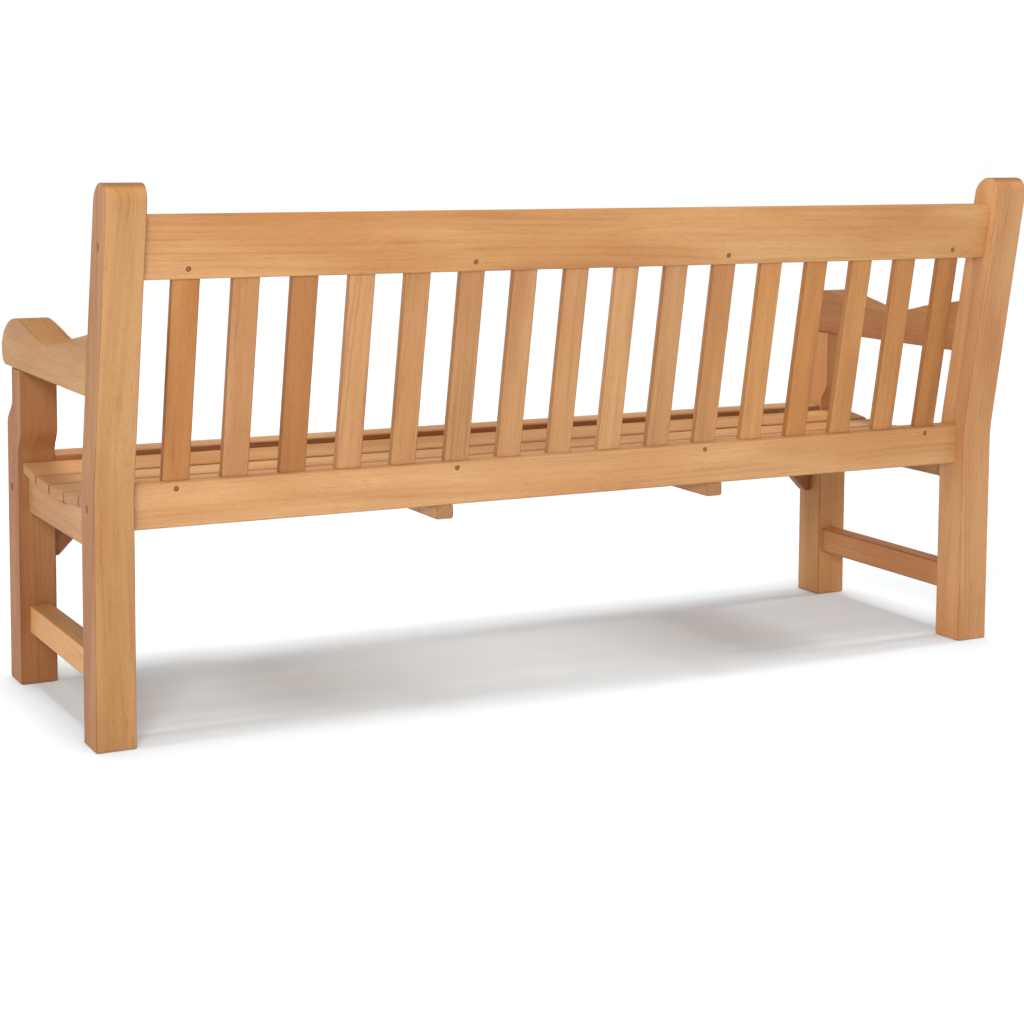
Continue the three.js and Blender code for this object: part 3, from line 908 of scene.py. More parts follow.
@dataclass(frozen=True)
class EndFrame:
    """A rear leg, front leg, arm, seat rail and stretcher, modelled for the left and mirrored.

    Attributes:
        leg_width: width of both legs.
        rear_depth: depth of the rear leg.
        crank_front: height where its front starts to lean back.
        crank_back: height where its back starts to lean.
        lean_front: travel of its front per metre above the bend.
        lean_back: travel of its back per metre above the bend.
        soft: half the height of the bend.
        arch: height of the rounded top.
        arch_steps: how many steps it is drawn up in.
        arch_angle: how far round the arch goes on each side, in degrees.
        front_depth: depth of the front leg below its neck.
        neck_front: how far the front steps back at the neck, from which height and to which.
        neck_back: the same for its back.
        neck_steps: how many faces each of the two S curves has.
        arm_under: height of the arm's underside.
        arm_rear: height of its top at the rear leg.
        arm_top: its top from the nose backwards: distance from the nose, height.
        arm_rows: distances from the nose at which the arm is cut, close together where it curves most.
        nose: radius under its nose.
        rail_thick: thickness of the seat rail.
        rail_inset: how far it stands in from the legs' outer faces.
        ease: radius on the legs' edges.
        arm_ease: radius on the arm's edges.
        rail_ease: radius on the seat rail's edges.
        stretcher_ease: radius on the stretcher's long edges.
        recess: radius and depth of a bolt's recess.
        looks: what sets each piece's colour and its painted shade apart.
    """

    leg_width: float = 0.0665
    rear_depth: float = 0.071
    crank_front: float = 0.425
    crank_back: float = 0.415
    lean_front: float = 0.1897
    lean_back: float = 0.18
    soft: float = 0.022
    arch: float = 0.031
    arch_steps: int = 7
    arch_angle: float = 83.0
    front_depth: float = 0.075
    neck_front: tuple[float, float, float] = (0.036, 0.466, 0.512)
    neck_back: tuple[float, float, float] = (0.020, 0.418, 0.464)
    neck_steps: int = 9
    arm_under: float = 0.570
    arm_rear: float = 0.670
    arm_top: tuple[tuple[float, float], ...] = (
        (0.0, 0.606),
        (0.004, 0.6145),
        (0.021, 0.6335),
        (0.053, 0.6505),
        (0.096, 0.6588),
        (0.140, 0.6550),
        (0.195, 0.6450),
        (0.255, 0.6340),
        (0.318, 0.6318),
        (0.390, 0.6405),
        (0.448, 0.6535),
        (0.498, 0.6628),
        (0.560, 0.6720),
    )
    arm_rows: tuple[float, ...] = (
        *(0.003, 0.0095, 0.0185, 0.031, 0.046),
        *(0.060 + 0.0165 * k for k in range(24)),
    )
    nose: float = 0.026
    rail_thick: float = 0.030
    rail_inset: float = 0.018
    ease: float = 0.0028
    arm_ease: float = 0.0034
    rail_ease: float = 0.0012
    stretcher_ease: float = 0.003
    recess: tuple[float, float] = (0.0068, 0.0163)
    looks: dict[str, BoardLook] = field(
        default_factory=lambda: {
            # Its last two numbers are painted shade: a dark line on its arrises and a darker outer side.
            "rear_leg_left": BoardLook(0.85, 0.15, 0.3, 0.4, 1.0, 0.7),
            "rear_leg_right": BoardLook(0.99, 0.3, 0.3),
            # Darker and redder than its twin: partly the board's own colour, partly painted shade of the arm
            # over its rear face.
            "front_leg_left": BoardLook(0.64, 1.0, 0.5),
            "front_leg_right": BoardLook(1.06, 0.25, 0.3, 0.35),
            "arm_left": BoardLook(0.76, 0.0, 0.45, 0.6, 0.35),
            "arm_right": BoardLook(0.72, 0.85, 0.3, 0.25, 0.35),
            "side_seat_rail_left": BoardLook(0.84, 0.0, 0.3),
            "side_seat_rail_right": BoardLook(0.92, 0.2, 0.3),
            "end_stretcher_left": BoardLook(1.06, 0.0, 0.2, 0.4),
            "end_stretcher_right": BoardLook(1.08, 0.6, 0.25),
        }
    )

    def rear_leg(self) -> Workpiece:
        """Models the left rear leg: bent back above the seat and rounded at its top.

        Returns:
            The leg.
        """
        low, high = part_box("rear_leg_left")
        straight_top = high.z - self.arch
        piece = Workpiece.block(
            shaped_name("rear_leg_left"), low, (high.x, low.y + self.rear_depth, straight_top)
        )
        rows = {self.crank_back - self.soft * k / 2 for k in (2, 1, 0, -1, -2)}
        rows |= {self.crank_front - self.soft * k / 2 for k in (0, -1, -2)}
        piece.slice(Axis.Z, sorted(rows))
        middle = low.y + self.rear_depth / 2
        for row in sorted(rows) + [straight_top]:
            for bend, lean, front in (
                (self.crank_back, self.lean_back, False),
                (self.crank_front, self.lean_front, True),
            ):
                shift = bend_start(row, bend, lean, self.soft)
                if shift > 0:
                    piece.move(
                        lambda p, n: abs(p.z - row) < NEAR and (p.y < middle) == front, (0.0, shift, 0.0)
                    )
        self._arch_over(piece, low, straight_top)
        piece.ease(self.ease)
        return piece

    def _arch_over(self, piece: Workpiece, low: Vector, straight_top: float) -> None:
        """Draws the top of the rear leg up into its arch, a step at a time.

        Args:
            piece: the leg, flat at its top.
            low: the leg's lowest corner.
            straight_top: height of the flat top.
        """
        front = low.y + bend_start(straight_top, self.crank_front, self.lean_front, self.soft)
        back = low.y + self.rear_depth + bend_start(straight_top, self.crank_back, self.lean_back, self.soft)
        middle = (front + back) / 2
        last_angle = math.radians(self.arch_angle)
        height = 0.0
        width = 1.0
        for step in range(1, self.arch_steps + 1):
            angle = last_angle * step / self.arch_steps
            next_height = self.arch * math.sin(angle) / math.sin(last_angle)
            next_width = math.cos(angle)
            rise = next_height - height
            top = straight_top + height
            piece.draw_out(
                lambda p, n: n.z > STRAIGHT and abs(p.z - top) < NEAR, (0.0, rise * self.lean_back, rise)
            )
            centre = Vector((low.x, middle + next_height * self.lean_back, top + rise))
            bpy.ops.transform.resize(value=(1.0, next_width / width, 1.0), center_override=centre)
            height = next_height
            width = next_width

    def front_leg(self) -> Workpiece:
        """Models the left front leg: an S curve on both faces up to the slimmer neck.

        Returns:
            The leg.
        """
        low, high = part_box("front_leg_left")
        top = self.arm_under - FIT
        piece = Workpiece.block(shaped_name("front_leg_left"), low, (high.x, low.y + self.front_depth, top))
        rows = set()
        for _, start, end in (self.neck_front, self.neck_back):
            step = (end - start) / self.neck_steps
            rows |= {round(start + step * k, 6) for k in range(self.neck_steps + 1)}
        ordered = sorted(rows)
        piece.slice(Axis.Z, ordered)
        middle = low.y + self.front_depth / 2
        for row in ordered + [top]:
            for (step_back, start, end), front in ((self.neck_back, False), (self.neck_front, True)):
                shift = step_back * ease_in_out((row - start) / (end - start))
                if shift > 0:
                    piece.move(
                        lambda p, n: abs(p.z - row) < NEAR and (p.y < middle) == front, (0.0, shift, 0.0)
                    )
        piece.ease(self.ease)
        return piece

    def arm(self) -> Workpiece:
        """Models the left arm: a scroll, a dip and a rise to the rear leg.

        Returns:
            The arm.
        """
        low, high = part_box("arm_left")
        rear_low = self._rear_leg_front(self.arm_under) - FIT
        rear_high = self._rear_leg_front(self.arm_rear) - FIT
        nose_top = self.arm_top[0][1]
        piece = Workpiece.block(
            shaped_name("arm_left"), (low.x, low.y, self.arm_under), (high.x, rear_low, nose_top)
        )
        piece.round_over(
            lambda p, run: abs(p.y - low.y) < NEAR and abs(p.z - self.arm_under) < NEAR, self.nose, 8
        )
        piece.slice(Axis.Y, [low.y + row for row in self.arm_rows])
        for row in self.arm_rows:
            rise = curve_through(self.arm_top, row) - nose_top
            piece.move(
                lambda p, n: abs(p.y - low.y - row) < NEAR and p.z > nose_top - NEAR, (0.0, 0.0, rise)
            )
        piece.move(
            lambda p, n: p.y > rear_low - NEAR and p.z > nose_top - NEAR,
            (0.0, rear_high - rear_low, self.arm_rear - nose_top),
        )
        piece.ease(self.arm_ease)
        return piece

    def _rear_leg_front(self, height: float) -> float:
        """Returns the place of the rear leg's front face at a height."""
        low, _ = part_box("rear_leg_left")
        return low.y + bend_start(height, self.crank_front, self.lean_front, self.soft)

    def _between_legs(self) -> tuple[float, float]:
        """Works out the clear space between the front and the rear leg.

        Returns:
            Where it starts and where it ends, from front to back.
        """
        front_low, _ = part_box("front_leg_left")
        rear_low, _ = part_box("rear_leg_left")
        return front_low.y + self.front_depth + FIT, rear_low.y - FIT

    def seat_rail(self, seat: "Seat") -> Workpiece:
        """Models the left side rail, whose top follows the undersides of the seat slats.

        Args:
            seat: the seat that lies on it.

        Returns:
            The rail.
        """
        low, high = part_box("side_seat_rail_left")
        front, rear = self._between_legs()
        top = seat.under_at(front)
        name = shaped_name("side_seat_rail_left")
        piece = Workpiece.block(name, (low.x, front, low.z), (high.x, rear, top))
        seat.follow_slats(piece, front, rear, top)
        piece.ease(self.rail_ease, 2, SQUARE_CORNER)
        return piece

    def stretcher(self) -> Workpiece:
        """Models the left stretcher between the legs.

        Returns:
            The stretcher.
        """
        low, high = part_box("end_stretcher_left")
        front, rear = self._between_legs()
        name = shaped_name("end_stretcher_left")
        piece = Workpiece.block(name, (low.x, front, low.z), (high.x, rear, high.z))
        piece.round_over(lambda p, run: abs(run.y) > STRAIGHT, self.stretcher_ease, 4)
        return piece

    def sink_recess(self, piece: Workpiece, bolt_node: str) -> None:
        """Sinks a bolt's recess into the outer face of a leg.

        Args:
            piece: the leg.
            bolt_node: the bolt's node.
        """
        low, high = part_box(bolt_node)
        radius, depth = self.recess
        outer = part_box("rear_leg_left")[1].x
        y = (low.y + high.y) / 2
        z = (low.z + high.z) / 2
        piece.cut(Workpiece.rod("cutter", (outer - depth, y, z), (outer + CUTTER_PROUD, y, z), radius, 40))

    def build(self, seat: "Seat", store: WoodStore) -> None:
        """Models both end frames and dresses them.

        Args:
            seat: the seat that lies on their rails.
            store: where their boards come from.
        """
        rear = self.rear_leg()
        self.sink_recess(rear, "bolt_top_left")
        self.sink_recess(rear, "bolt_low_left")
        front = self.front_leg()
        self.sink_recess(front, "bolt_front_left")
        lean = Vector((0.0, (self.lean_front + self.lean_back) / 4, 1.0))
        for piece, stem, along, across in (
            (rear, "rear_leg", lean, X),
            (front, "front_leg", Z, X),
            (self.arm(), "arm", Y, Z),
            (self.seat_rail(seat), "side_seat_rail", Y, Z),
            (self.stretcher(), "end_stretcher", Y, Z),
        ):
            other = piece.mirrored(shaped_name(f"{stem}_right"))
            for side, made in (("left", piece), ("right", other)):
                node = f"{stem}_{side}"
                made.finish(store.board(node, along, across, self.looks[node]), Slot.TEAK, node)


# ---- back --------------------------------------------------------------------------------------------


@dataclass(frozen=True)
class Back:
    """Top rail, bottom rail, sixteen slats between them and the pins that hold the outer and middle ones.

    Attributes:
        count: number of slats.
        pinned: numbers of the slats that are pinned.
        lean: backwards travel per metre of height.
        top_thick: thickness of the top rail.
        top_height: height of the top rail over its upright extent.
        top_round: radius on its upper edges.
        low_round: radius on the upper rear edge of the bottom rail.
        ease: radius on the other edges.
        slat_round: radius on the slats' edges.
        pin_dome: radius round a pin's head.
        pin_gap: clearance round a pin at the mouth of its hole.
        hole_depth: depth of that mouth.
        tones: lightness, redness and gold of each slat, from the sitter's left.
        slat_streaks: how strong the slats' darker streaks are.
        top_look: what sets the top rail's colour and the painted shade on its arrises apart.
        low_look: the same for the bottom rail.
        pin_look: the same for the pins.
    """

    count: int = 16
    pinned: tuple[int, ...] = (1, 6, 11, 16)
    lean: float = 0.187
    top_thick: float = 0.030
    top_height: float = 0.100
    top_round: float = 0.009
    low_round: float = 0.005
    ease: float = 0.003
    slat_round: float = 0.002
    pin_dome: float = 0.0006
    pin_gap: float = 0.0005
    hole_depth: float = 0.004
    tones: tuple[tuple[float, float, float], ...] = (
        (0.85, 0.75, 0.80),
        (0.85, 0.50, 0.05),
        (0.75, 1.00, 0.30),
        (0.93, 0.35, 0.00),
        (0.96, 0.20, 0.00),
        (0.90, 0.10, 0.00),
        (0.93, 0.20, 0.05),
        (0.90, 0.40, 0.15),
        (1.02, 0.10, 0.00),
        (0.89, 0.35, 0.00),
        (0.92, 0.35, 0.25),
        (1.04, 0.30, 0.65),
        (0.95, 0.65, 0.75),
        (0.97, 0.40, 0.65),
        (0.89, 0.60, 0.80),
        (0.74, 1.00, 1.00),
    )
    slat_streaks: float = 0.4
    top_look: BoardLook = BoardLook(1.02, 0.15, 0.3, 0.25, 0.25)
    low_look: BoardLook = BoardLook(1.09, painted_shade=0.4)
    pin_look: BoardLook = BoardLook(0.85, 0.3)

    def top_rail(self) -> Workpiece:
        """Models the top rail, which leans with the slats and is round along its top.

        Returns:
            The rail.
        """
        low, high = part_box("back_top_rail")
        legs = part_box("rear_leg_left")[0].x - FIT
        middle = (low + high) / 2
        angle = math.atan(self.lean)
        tall = self.top_height / math.cos(angle) / 2
        thick = self.top_thick / 2
        piece = Workpiece.block(
            shaped_name("back_top_rail"),
            (-legs, middle.y - thick, middle.z - tall),
            (legs, middle.y + thick, middle.z + tall),
            angle,
        )
        piece.round_over(lambda p, run: abs(run.x) > STRAIGHT and p.z > middle.z, self.top_round, 6)
        piece.round_over(lambda p, run: abs(run.x) > STRAIGHT and p.z < middle.z, self.ease, 3)
        return piece

    def bottom_rail(self) -> Workpiece:
        """Models the bottom rail, which is upright.

        Returns:
            The rail.
        """
        low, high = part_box("back_bottom_rail")
        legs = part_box("rear_leg_left")[0].x - FIT
        name = shaped_name("back_bottom_rail")
        piece = Workpiece.block(name, (-legs, low.y, low.z), (legs, high.y, high.z))
        middle = (low + high) / 2
        piece.round_over(
            lambda p, run: abs(run.x) > STRAIGHT and p.z > middle.z and p.y > middle.y, self.low_round, 4
        )
        piece.round_over(
            lambda p, run: abs(run.x) > STRAIGHT and (p.z < middle.z or p.y < middle.y), self.ease, 3
        )
        return piece

    def slat(self) -> Workpiece:
        """Models the first slat as a board pushed back at its top with the lean.

        Returns:
            The slat.
        """
        low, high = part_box("back_slat_01")
        run_back = (high.z - low.z) * self.lean
        piece = Workpiece.block(shaped_name("back_slat_01"), low, (high.x, high.y - run_back, high.z))
        piece.move(lambda p, n: p.z > high.z - NEAR, (0.0, run_back, 0.0))
        piece.round_over(lambda p, run: abs(run.z) > 0.9, self.slat_round, 3)
        return piece

    def pin(self, node: str) -> Workpiece:
        """Models a pin with a slightly domed head, which ends just below the face of its rail.

        Args:
            node: the pin's node.

        Returns:
            The pin.
        """
        low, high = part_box(node)
        middle = (low + high) / 2
        radius = (high.x - low.x) / 2
        piece = Workpiece.rod(
            shaped_name(node), (middle.x, low.y, middle.z), (middle.x, high.y, middle.z), radius, 24
        )
        piece.round_over(lambda p, run: abs(run.y) < 0.5 and p.y > high.y - NEAR, self.pin_dome, 2)
        return piece

    def pin_hole(self, rail: Workpiece, node: str) -> None:
        """Bores the mouth of a pin's hole, a little wider than the pin.

        Args:
            rail: the rail that is bored.
            node: the pin's node.
        """
        low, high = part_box(node)
        middle = (low + high) / 2
        radius = (high.x - low.x) / 2 + self.pin_gap
        start = (middle.x, high.y - self.hole_depth, middle.z)
        end = (middle.x, high.y + CUTTER_PROUD, middle.z)
        rail.cut(Workpiece.rod("cutter", start, end, radius))

    def build(self, store: WoodStore, pins: WoodStore) -> None:
        """Models the back and dresses it.

        Args:
            store: where its boards come from.
            pins: where its pins come from.
        """
        top = self.top_rail()
        bottom = self.bottom_rail()
        for number in self.pinned:
            self.pin_hole(top, f"slat_pin_top_{number:02d}")
            self.pin_hole(bottom, f"slat_pin_low_{number:02d}")
        upright = Vector((0.0, self.lean, 1.0))
        top.finish(store.board("back_top_rail", X, upright, self.top_look), Slot.TEAK, "back_top_rail")
        bottom.finish(store.board("back_bottom_rail", X, Z, self.low_look), Slot.TEAK, "back_bottom_rail")
        first = self.slat()
        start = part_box("back_slat_01")[0].x
        slats = [first]
        for number in range(2, self.count + 1):
            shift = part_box(f"back_slat_{number:02d}")[0].x - start
            slats.append(first.copy(shaped_name(f"back_slat_{number:02d}"), (shift, 0.0, 0.0)))
        for number, slat in enumerate(slats, 1):
            node = f"back_slat_{number:02d}"
            tone, redness, gold = self.tones[number - 1]
            look = BoardLook(tone, redness, self.slat_streaks, gold)
            slat.finish(store.board(node, upright, X, look), Slot.TEAK, node)
        for number in self.pinned:
            for level in ("top", "low"):
                node = f"slat_pin_{level}_{number:02d}"
                self.pin(node).finish(pins.board(node, Y, X, self.pin_look), Slot.PINS, node)


# ---- seat --------------------------------------------------------------------------------------------


@dataclass(frozen=True)
class Seat:
    """Front rail, two bearers, two corner brackets and six slats over a dished seat.

    Attributes:
        thick: thickness of a slat.
        rises: how much higher each slat's rear edge is than its front edge, from the front slat.
        noses: radius on each slat's front edge.
        tail: radius on each slat's rear edge.
        slat_ease: radius on the slats' other edges.
        rail_ease: radius on the front rail's long edges.
        lowest: number of the lowest slat.
        relief: how far the rails are hollowed under it.
        hollow: the hollow's curve: share of the slat's width, share of the relief.
        bearer_tenon: length of a bearer's tenon in the front rail.
        bearer_round: radius under a bearer's long edges.
        bearer_ease: radius on its other edges.
        bracket_blunt: width of a bracket's two blunt ends.
        bracket_lip: how far its long edge starts in from the ends.
        bracket_hollow: how far that edge is hollow.
        bracket_steps: how many faces the hollow has.
        bracket_ease: radius on a bracket's edges.
        slat_look: what sets the slats' colour apart, and the painted shade on their arrises and rear faces
            that makes the gaps between them read dark.
        bearer_look: the same for the bearers.
        bracket_look: the same for the brackets.
    """

    thick: float = 0.019
    rises: tuple[float, ...] = (0.0, -0.010, -0.0015, 0.0015, 0.0065, 0.0035)
    noses: tuple[float, ...] = (0.008, 0.004, 0.004, 0.004, 0.004, 0.004)
    tail: float = 0.004
    slat_ease: float = 0.0015
    rail_ease: float = 0.0025
    lowest: int = 4
    relief: float = 0.005
    hollow: tuple[tuple[float, float], ...] = (
        (0.17, 0.7),
        (0.34, 0.93),
        (0.5, 1.0),
        (0.66, 0.93),
        (0.83, 0.7),
    )
    bearer_tenon: float = 0.014
    bearer_round: float = 0.005
    bearer_ease: float = 0.0025
    bracket_blunt: float = 0.015
    bracket_lip: float = 0.001
    bracket_hollow: float = 0.004
    bracket_steps: int = 8
    bracket_ease: float = 0.0022
    # Painted shade on the slats' arrises and on their rear faces, so the gaps between the slats read dark.
    slat_look: BoardLook = BoardLook(1.06, painted_shade=0.4, side_shade=1.0)
    bearer_look: BoardLook = BoardLook(1.05)
    bracket_look: BoardLook = BoardLook(0.66, 0.9)

    def _edges(self, number: int) -> tuple[Vector, Vector]:
        """Works out where a slat's upper edges are.

        Args:
            number: the slat's number.

        Returns:
            Its upper front and upper rear edge, as points with x = 0.
        """
        low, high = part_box(f"seat_slat_{number}")
        rise = self.rises[number - 1]
        front = high.z - max(0.0, rise)
        return Vector((0.0, low.y, front)), Vector((0.0, high.y, front + rise))

    def under_points(self) -> list[tuple[float, float]]:
        """Works out the line under the seat slats, hollowed under the lowest.

        Returns:
            The line as pairs of y and height.
        """
        points: list[tuple[float, float]] = []
        for number in range(1, len(self.rises) + 1):
            front, rear = self._edges(number)
            drop = self.thick + FIT
            points.append((front.y, front.z - drop))
            if number == self.lowest:
                for share, depth in self.hollow:
                    place = front.lerp(rear, share)
                    points.append((place.y, place.z - drop - self.relief * depth))
            points.append((rear.y, rear.z - drop))
        return points

    def under_at(self, y: float) -> float:
        """Works out the height of the line under the seat slats.

        Args:
            y: where the height is wanted.

        Returns:
            The height.
        """
        points = self.under_points()
        for (y0, z0), (y1, z1) in zip(points, points[1:]):
            if y <= y1:
                share = max(0.0, (y - y0) / (y1 - y0))
                return z0 + (z1 - z0) * share
        return points[-1][1]

    def follow_slats(self, piece: Workpiece, front: float, rear: float, top: float) -> None:
        """Shapes the top of a rail so that it follows the undersides of the seat slats.

        Args:
            piece: a block whose top is flat.
            front: y of its front end.
            rear: y of its rear end.
            top: height of its flat top.
        """
        rows = [y for y, _ in self.under_points() if front + ROW_GAP < y < rear - ROW_GAP]
        piece.slice(Axis.Y, rows)
        for row in rows + [rear]:
            shift = self.under_at(row) - top
            piece.move(lambda p, n: abs(p.y - row) < NEAR and p.z > top - NEAR, (0.0, 0.0, shift))

    def front_rail(self) -> Workpiece:
        """Models the front rail.

        Returns:
            The rail.
        """
        low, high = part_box("front_seat_rail")
        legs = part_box("rear_leg_left")[0].x - FIT
        piece = Workpiece.block(shaped_name("front_seat_rail"), (-legs, low.y, low.z), (legs, high.y, high.z))
        piece.round_over(lambda p, run: abs(run.x) > STRAIGHT, self.rail_ease, 3)
        return piece

    def bearer(self) -> Workpiece:
        """Models the left bearer, whose rear end passes under the bottom rail.

        Returns:
            The bearer.
        """
        low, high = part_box("seat_bearer_left")
        front = low.y + self.bearer_tenon + FIT
        rail_low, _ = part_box("back_bottom_rail")
        rail_front = rail_low.y - FIT
        notch = rail_low.z - FIT
        top = self.under_at(front)
        name = shaped_name("seat_bearer_left")
        piece = Workpiece.block(name, (low.x, front, low.z), (high.x, rail_front, top))
        piece.slice(Axis.Z, [notch])
        piece.draw_out(lambda p, n: n.y > 0.9 and p.z < notch, (0.0, high.y - rail_front, 0.0))
        self.follow_slats(piece, front, rail_front, top)
        piece.round_over(
            lambda p, run: abs(run.y) > STRAIGHT and abs(p.z - low.z) < NEAR and p.y > front,
            self.bearer_round,
            4,
        )
        piece.ease(self.bearer_ease, 3, SQUARE_CORNER)
        return piece

    def bracket(self) -> Workpiece:
        """Models the left corner bracket: blunt at both ends, with a hollow long edge.

        Returns:
            The bracket.
        """
        low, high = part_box("corner_bracket_left")
        piece = Workpiece.block(shaped_name("corner_bracket_left"), low, high)
        start = Vector((high.x - self.bracket_blunt, 0.0, low.z + self.bracket_lip))
        end = Vector((low.x + self.bracket_lip, 0.0, high.z - self.bracket_blunt))
        run = (end - start).normalized()
        outwards = Vector((-run.z, 0.0, run.x))
        piece.slice_at(start, outwards, drop=True)
        length = (end - start).length
        shares = [step / self.bracket_steps for step in range(1, self.bracket_steps)]
        for share in shares:
            piece.slice_at(start + run * length * share, run)
        near = NEAR * 5
        for share in shares:
            place = start + run * length * share
            depth = self.bracket_hollow * math.sin(math.pi * share)
            piece.move(
                lambda p, n: abs((p - place).dot(run)) < near and abs((p - place).dot(outwards)) < near,
                -outwards * depth,
            )
        piece.ease(self.bracket_ease, 3, 30.0)
        return piece

    def slat(self, number: int) -> Workpiece:
        """Models a seat slat, sloped with the dish of the seat.

        Args:
            number: the slat's number.

        Returns:
            The slat.
        """
        low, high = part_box(f"seat_slat_{number}")
        front, rear = self._edges(number)
        piece = Workpiece.block(
            shaped_name(f"seat_slat_{number}"),
            (low.x, front.y, front.z - self.thick),
            (high.x, rear.y, front.z),
        )
        if rear.z != front.z:
            piece.move(lambda p, n: p.y > rear.y - NEAR, (0.0, 0.0, rear.z - front.z))
        nose = self.noses[number - 1]
        middle = (front.y + rear.y) / 2
        front_core = front.z - self.thick / 2
        rear_core = rear.z - self.thick / 2
        piece.round_over(
            lambda p, run: abs(run.x) > STRAIGHT and p.y < middle and p.z > front_core, nose, 5
        )
        piece.round_over(
            lambda p, run: abs(run.x) > STRAIGHT and p.y > middle and p.z > rear_core, self.tail, 4
        )
        piece.ease(self.slat_ease, 2, SQUARE_CORNER)
        return piece

    def build(self, store: WoodStore) -> None:
        """Models the seat and dresses it.

        Args:
            store: where its boards come from.
        """
        self.front_rail().finish(store.board("front_seat_rail", X, Z), Slot.TEAK, "front_seat_rail")
        for piece, stem, along, across, look in (
            (self.bearer(), "seat_bearer", Y, Z, self.bearer_look),
            (self.bracket(), "corner_bracket", X - Z, X + Z, self.bracket_look),
        ):
            other = piece.mirrored(shaped_name(f"{stem}_right"))
            for side, made in (("left", piece), ("right", other)):
                node = f"{stem}_{side}"
                way = along if side == "left" else Vector((-along.x, along.y, along.z))
                made.finish(store.board(node, way, across, look), Slot.TEAK, node)
        for number in range(1, len(self.rises) + 1):
            node = f"seat_slat_{number}"
            self.slat(number).finish(store.board(node, X, Y, self.slat_look), Slot.TEAK, node)


# ---- fixings -----------------------------------------------------------------------------------------


@dataclass(frozen=True)
class Fixings:
    """Bolts through the legs and the barrel nuts that they pull on.

    Attributes:
        levels: names of the rails that are bolted.
    """

    levels: tuple[str, ...] = ("top", "low", "front")

    def build(self, steel: bpy.types.Material) -> None:
        """Dresses the bolts and nuts of the frame.

        Args:
            steel: their material, darkened as painted shade of their recesses.
        """
        for level in self.levels:
            for stem in ("bolt", "barrel_nut"):
                for side in ("left", "right"):
                    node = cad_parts[f"{stem}_{level}_{side}"]
                    node.data.materials.clear()
                    node.data.materials.append(steel)


# ---- studio ------------------------------------------------------------------------------------------


def hang_lamp(
    data: bpy.types.Light, way: Vector, place: Sequence[float] = (0.0, 0.0, 0.0)
) -> bpy.types.Object:
    """Adds a lamp to the scene.

    Args:
        data: the light that it gives.
        way: the direction in which it shines.
        place: where it hangs.

    Returns:
        The lamp.
    """
    lamp = bpy.data.objects.new(data.name, data)
    lamp.location = place
    lamp.rotation_euler = way.to_track_quat("-Z", "Y").to_euler()
    bpy.context.scene.collection.objects.link(lamp)
    return lamp


@dataclass(frozen=True)
class Softbox:
    """A large soft lamp.

    Attributes:
        name: its name.
        place: where it stands.
        aim: the point that it faces.
        size: its width and height.
        power: in watts.
    """

    name: str
    place: tuple[float, float, float]
    aim: tuple[float, float, float]
    size: tuple[float, float]
    power: float

    def light(self) -> None:
        """Adds the lamp."""
        data = bpy.data.lights.new(self.name, "AREA")
        data.shape = "RECTANGLE"
        data.size, data.size_y = self.size
        data.energy = self.power
        hang_lamp(data, Vector(self.aim) - Vector(self.place), self.place)


@dataclass(frozen=True)
class SoftSun:
    """A soft light that is equally strong everywhere and leaves no glare on flat tops.

    Attributes:
        name: its name.
        way: the direction in which its light travels.
        strength: irradiance in watts per square metre.
        spread: its apparent size in degrees.
    """

    name: str
    way: tuple[float, float, float]
    strength: float
    spread: float

    def light(self) -> None:
        """Adds the lamp."""
        data = bpy.data.lights.new(self.name, "SUN")
        data.energy = self.strength
        data.angle = math.radians(self.spread)
        hang_lamp(data, Vector(self.way)).visible_glossy = False


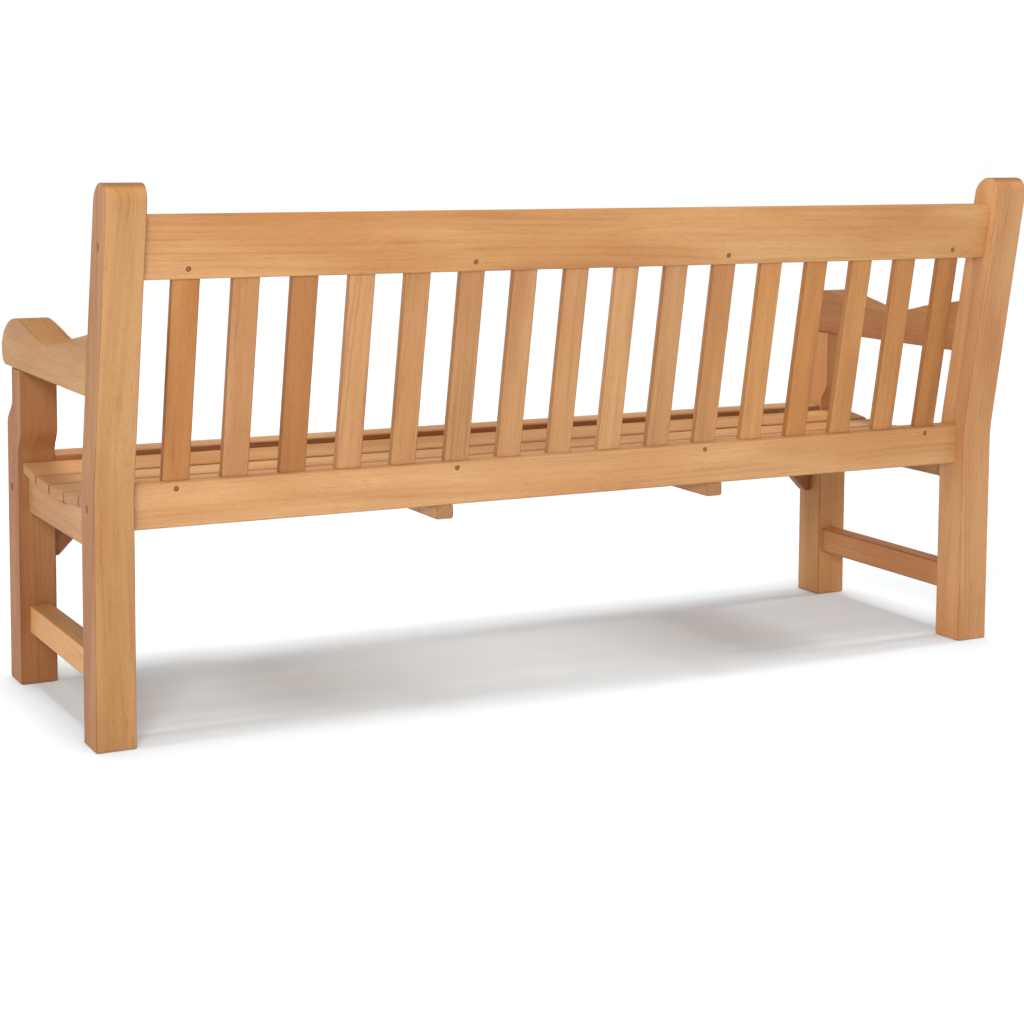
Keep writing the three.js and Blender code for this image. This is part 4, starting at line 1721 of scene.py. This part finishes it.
@dataclass(frozen=True)
class Studio:
    """Pale floor, soft light and the camera.

    Attributes:
        camera_place: where the camera stands.
        yaw: how far it is turned from looking at the bench's back square on, in degrees.
        pitch: how far it looks down, in degrees.
        roll: how far it is tilted sideways, in degrees.
        lens: focal length in millimetres.
        shift: vertical lens shift.
        floor_size: side of the floor.
        floor_drop: how far the floor lies under the legs.
        floor_paint: the floor's colour.
        horizon: brightness of the surroundings from below up to just above the horizon.
        zenith: brightness straight above.
        fade: heights between which the first changes to the second, as the sine of the angle.
        lamps: the softboxes.
        suns: the soft lights that fall evenly on the whole floor.
    """

    camera_place: tuple[float, float, float] = (1.8307, 3.48568, 0.9921)
    yaw: float = -27.303
    pitch: float = 5.271
    roll: float = 0.346
    lens: float = 74.531
    shift: float = -0.18
    floor_size: float = 400.0
    floor_drop: float = 0.0005
    floor_paint: Colour = colour(0.785, 0.84, 0.872)
    horizon: float = 1.03
    zenith: float = 0.32
    fade: tuple[float, float] = (0.13, 0.40)
    lamps: tuple[Softbox, ...] = (
        Softbox("rear_softbox", (2.9, 4.8, 2.3), (0.0, 0.0, 0.5), (1.8, 1.1), 188.0),
    )
    suns: tuple[SoftSun, ...] = (
        SoftSun("left_light", (-1.0, -0.03, -0.28), 1.5, 8.0),
        SoftSun("right_light", (1.0, 0.02, -0.28), 2.3, 8.0),
        SoftSun("top_front_light", (0.0, 0.15, -1.0), 1.0, 14.0),
        SoftSun("top_rear_light", (0.0, -0.15, -1.0), 1.0, 14.0),
    )

    def build(self) -> None:
        """Sets up the camera, the lights and the floor."""
        self._camera()
        self._world()
        self._floor()
        for lamp in (*self.lamps, *self.suns):
            lamp.light()
        bpy.context.scene.view_settings.view_transform = "Standard"

    def _camera(self) -> None:
        """Adds the camera."""
        yaw = math.radians(self.yaw)
        pitch = math.radians(self.pitch)
        roll = math.radians(self.roll)
        level = math.cos(pitch)
        forward = Vector((math.sin(yaw) * level, -math.cos(yaw) * level, -math.sin(pitch)))
        right = forward.cross(Z).normalized()
        up = right.cross(forward)
        level_right = math.cos(roll) * right + math.sin(roll) * up
        level_up = math.cos(roll) * up - math.sin(roll) * right
        data = bpy.data.cameras.new("camera")
        data.sensor_width = 36.0
        data.lens = self.lens
        data.shift_y = self.shift
        data.clip_end = 200.0
        camera = bpy.data.objects.new("camera", data)
        turn = Matrix((level_right, level_up, -forward)).transposed()
        camera.matrix_world = Matrix.Translation(self.camera_place) @ turn.to_4x4()
        bpy.context.scene.collection.objects.link(camera)
        bpy.context.scene.camera = camera

    def _world(self) -> None:
        """Surrounds the scene with white that is dimmer overhead."""
        world = bpy.data.worlds.new("soft_daylight")
        world.use_nodes = True
        pen = Sketch(world.node_tree)
        background = world.node_tree.nodes["Background"]
        way = pen.node("ShaderNodeTexCoord").outputs["Generated"]
        height = pen.node("ShaderNodeSeparateXYZ", {"Vector": way}).outputs["Z"]
        strength = pen.between(height, *self.fade, self.horizon, self.zenith)
        world.node_tree.links.new(strength, background.inputs["Strength"])
        background.inputs["Color"].default_value = colour(1.0, 1.0, 1.0)
        bpy.context.scene.world = world

    def _floor(self) -> None:
        """Lays the plain pale floor."""
        select_nothing()
        bpy.ops.mesh.primitive_plane_add(size=self.floor_size, location=(0.0, 0.0, -self.floor_drop))
        floor = bpy.context.object
        floor.name = "studio_floor"
        paint = bpy.data.materials.new("pale_floor")
        paint.use_nodes = True
        shader = paint.node_tree.nodes["Principled BSDF"]
        shader.inputs["Base Color"].default_value = self.floor_paint
        shader.inputs["Roughness"].default_value = 0.85
        floor.data.materials.append(paint)


# ---- assembly ----------------------------------------------------------------------------------------


def main() -> None:
    """Builds the studio and the bench, one sub-assembly after another."""
    Studio().build()
    store = WoodStore(Timber(), seed=11)
    pins = WoodStore(Timber(end=colour(0.27, 0.115, 0.042), name="pin_wood"), seed=5)
    seat = Seat()
    EndFrame().build(seat, store)
    Back().build(store, pins)
    seat.build(store)
    Fixings().build(Steel().material())
    select_nothing()


if __name__ == "__main__":
    main()
